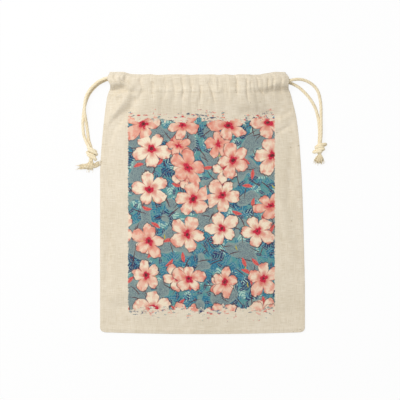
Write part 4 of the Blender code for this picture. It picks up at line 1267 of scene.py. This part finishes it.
class BREAD_BAG_OT_drawcords(bpy.types.Operator):
    """Two drawcords, each with its knot and frayed ends"""

    bl_idname = "bread_bag.drawcords"
    bl_label = "Drawcords and knots"

    RING_STEP = 0.0007
    # How far a free strand goes on inside the casing, and how far a cord reaches into its knot
    HIDDEN, INTO_KNOT = 0.006, 0.0045

    def execute(self, context):
        sizes, look = context.scene.bread_bag_sizes, context.scene.bread_bag_cord
        bag = LyingBag(sizes)
        corded = twisted_cotton("twisted_cotton_cord", look, True)
        knotted = twisted_cotton("knotted_cotton_cord", look, False)
        free = strand_profile(sizes.cord / 2, look.lay, look.groove)
        squeezed = strand_profile(sizes.cord / 2 * 0.97, look.lay, 0.0)

        def add_cord(name, points, sides, profile):
            places, faces, uv = tube(points, sides, profile)
            made = add_mesh(name, places, faces, [corded], CORD_MAP, uv)
            dress(made, f"{side}_drawcord")
            return made

        for side, out, route, knot, tails, seed in (
            ("left", -1, LEFT_CORD_ROUTE, LEFT_KNOT, LEFT_TAILS, 41),
            ("right", 1, RIGHT_CORD_ROUTE, RIGHT_KNOT, RIGHT_TAILS, 42),
        ):
            ends = []
            for end in (Vector(route[0]), Vector(route[-1])):
                ends.append(tuple(end + (Vector(knot[0]) - end).normalized() * self.INTO_KNOT))
            knot_piece = self.add_knot(side, knot, ends, tails[0][0][0], sizes.cord, look, knotted)
            yarns = [fibres(*tail, look.fibre, seed + 10 * i) for i, tail in enumerate(tails)]
            places, faces, _ = joined(yarns)
            frayed = add_mesh(f"{side}_frayed_ends", places, faces, [knotted])
            for piece in (knot_piece, frayed):
                dress(piece, f"{side}_knot")
            path = smooth_path((ends[0], *route, ends[1]), self.RING_STEP)
            left, right = bag.side_edges(np.clip(sizes.height / 2 - path[:, 1], 0, sizes.height))
            held = np.flatnonzero(path[:, 0] > left if out < 0 else path[:, 0] < right)
            hidden = int(self.HIDDEN / self.RING_STEP)
            first, last = held[0] + hidden, held[-1] - hidden
            add_cord(f"{side}_cord_in_casing", path[first - 2 : last + 3 : 3], 12, squeezed)
            for place, points, exit_at in (
                ("front", path[: first + 1][::-1], held[0]),
                ("back", path[last:], held[-1]),
            ):
                piece = add_cord(f"{side}_cord_{place}", points, 30, free)
        return {"FINISHED"}

    def add_knot(self, side, knot, ends, neck, cord, look, material):
        """The wraps of a knot and the two strands that pass through it, fused and softened."""
        routes, radius = knot_strands(knot, cord)
        centre, neck = Vector(knot[0]), Vector(neck)
        for end, side_step in zip(ends, (-0.0013, 0.0013)):
            shift = Vector((side_step, 0, 0))
            past = neck + shift * 0.7 + (neck - centre) * 0.4
            routes.append([end, tuple(centre + shift), tuple(neck + shift), tuple(past)])
        profile = strand_profile(radius, look.lay * 0.8, 0.14)
        places, faces, _ = joined([tube(smooth_path(route, 0.0006), 20, profile) for route in routes])
        made = add_mesh(f"{side}_overhand_knot", places, faces, [material])
        finish_with(made, [
            ("REMESH", {"mode": "VOXEL", "voxel_size": 0.00026, "use_smooth_shade": True}),
            ("SMOOTH", {"factor": 0.5, "iterations": 2}),
        ])
        return made


class BREAD_BAG_PT_panel(bpy.types.Panel):
    bl_label = "Bread Bag"
    bl_idname = "BREAD_BAG_PT_panel"
    bl_space_type = "VIEW_3D"
    bl_region_type = "UI"
    bl_category = "Bread Bag"

    def draw(self, context):
        for operator in OPERATORS:
            self.layout.operator(operator.bl_idname)
        for name, _ in SETTINGS:
            group = getattr(context.scene, name)
            for key in group.__annotations__:
                self.layout.prop(group, key)


SETTINGS = (
    ("bread_bag_sizes", BagSizes),
    ("bread_bag_canvas", CanvasLook),
    ("bread_bag_print", PrintLook),
    ("bread_bag_cord", CordLook),
    ("bread_bag_stage", StageLook),
)
OPERATORS = (BREAD_BAG_OT_stage, BREAD_BAG_OT_drawcords, BREAD_BAG_OT_panels, BREAD_BAG_OT_stitching)


def register():
    for _, kind in SETTINGS:
        bpy.utils.register_class(kind)
    for name, kind in SETTINGS:
        setattr(bpy.types.Scene, name, PointerProperty(type=kind))
    for operator in OPERATORS:
        bpy.utils.register_class(operator)
    bpy.utils.register_class(BREAD_BAG_PT_panel)


def unregister():
    bpy.utils.unregister_class(BREAD_BAG_PT_panel)
    for operator in reversed(OPERATORS):
        bpy.utils.unregister_class(operator)
    for name, kind in reversed(SETTINGS):
        delattr(bpy.types.Scene, name)
        bpy.utils.unregister_class(kind)


def main():
    register()
    bpy.ops.bread_bag.stage()
    bpy.ops.bread_bag.drawcords()
    bpy.ops.bread_bag.panels()
    bpy.ops.bread_bag.stitching()


if __name__ == "__main__":
    main()
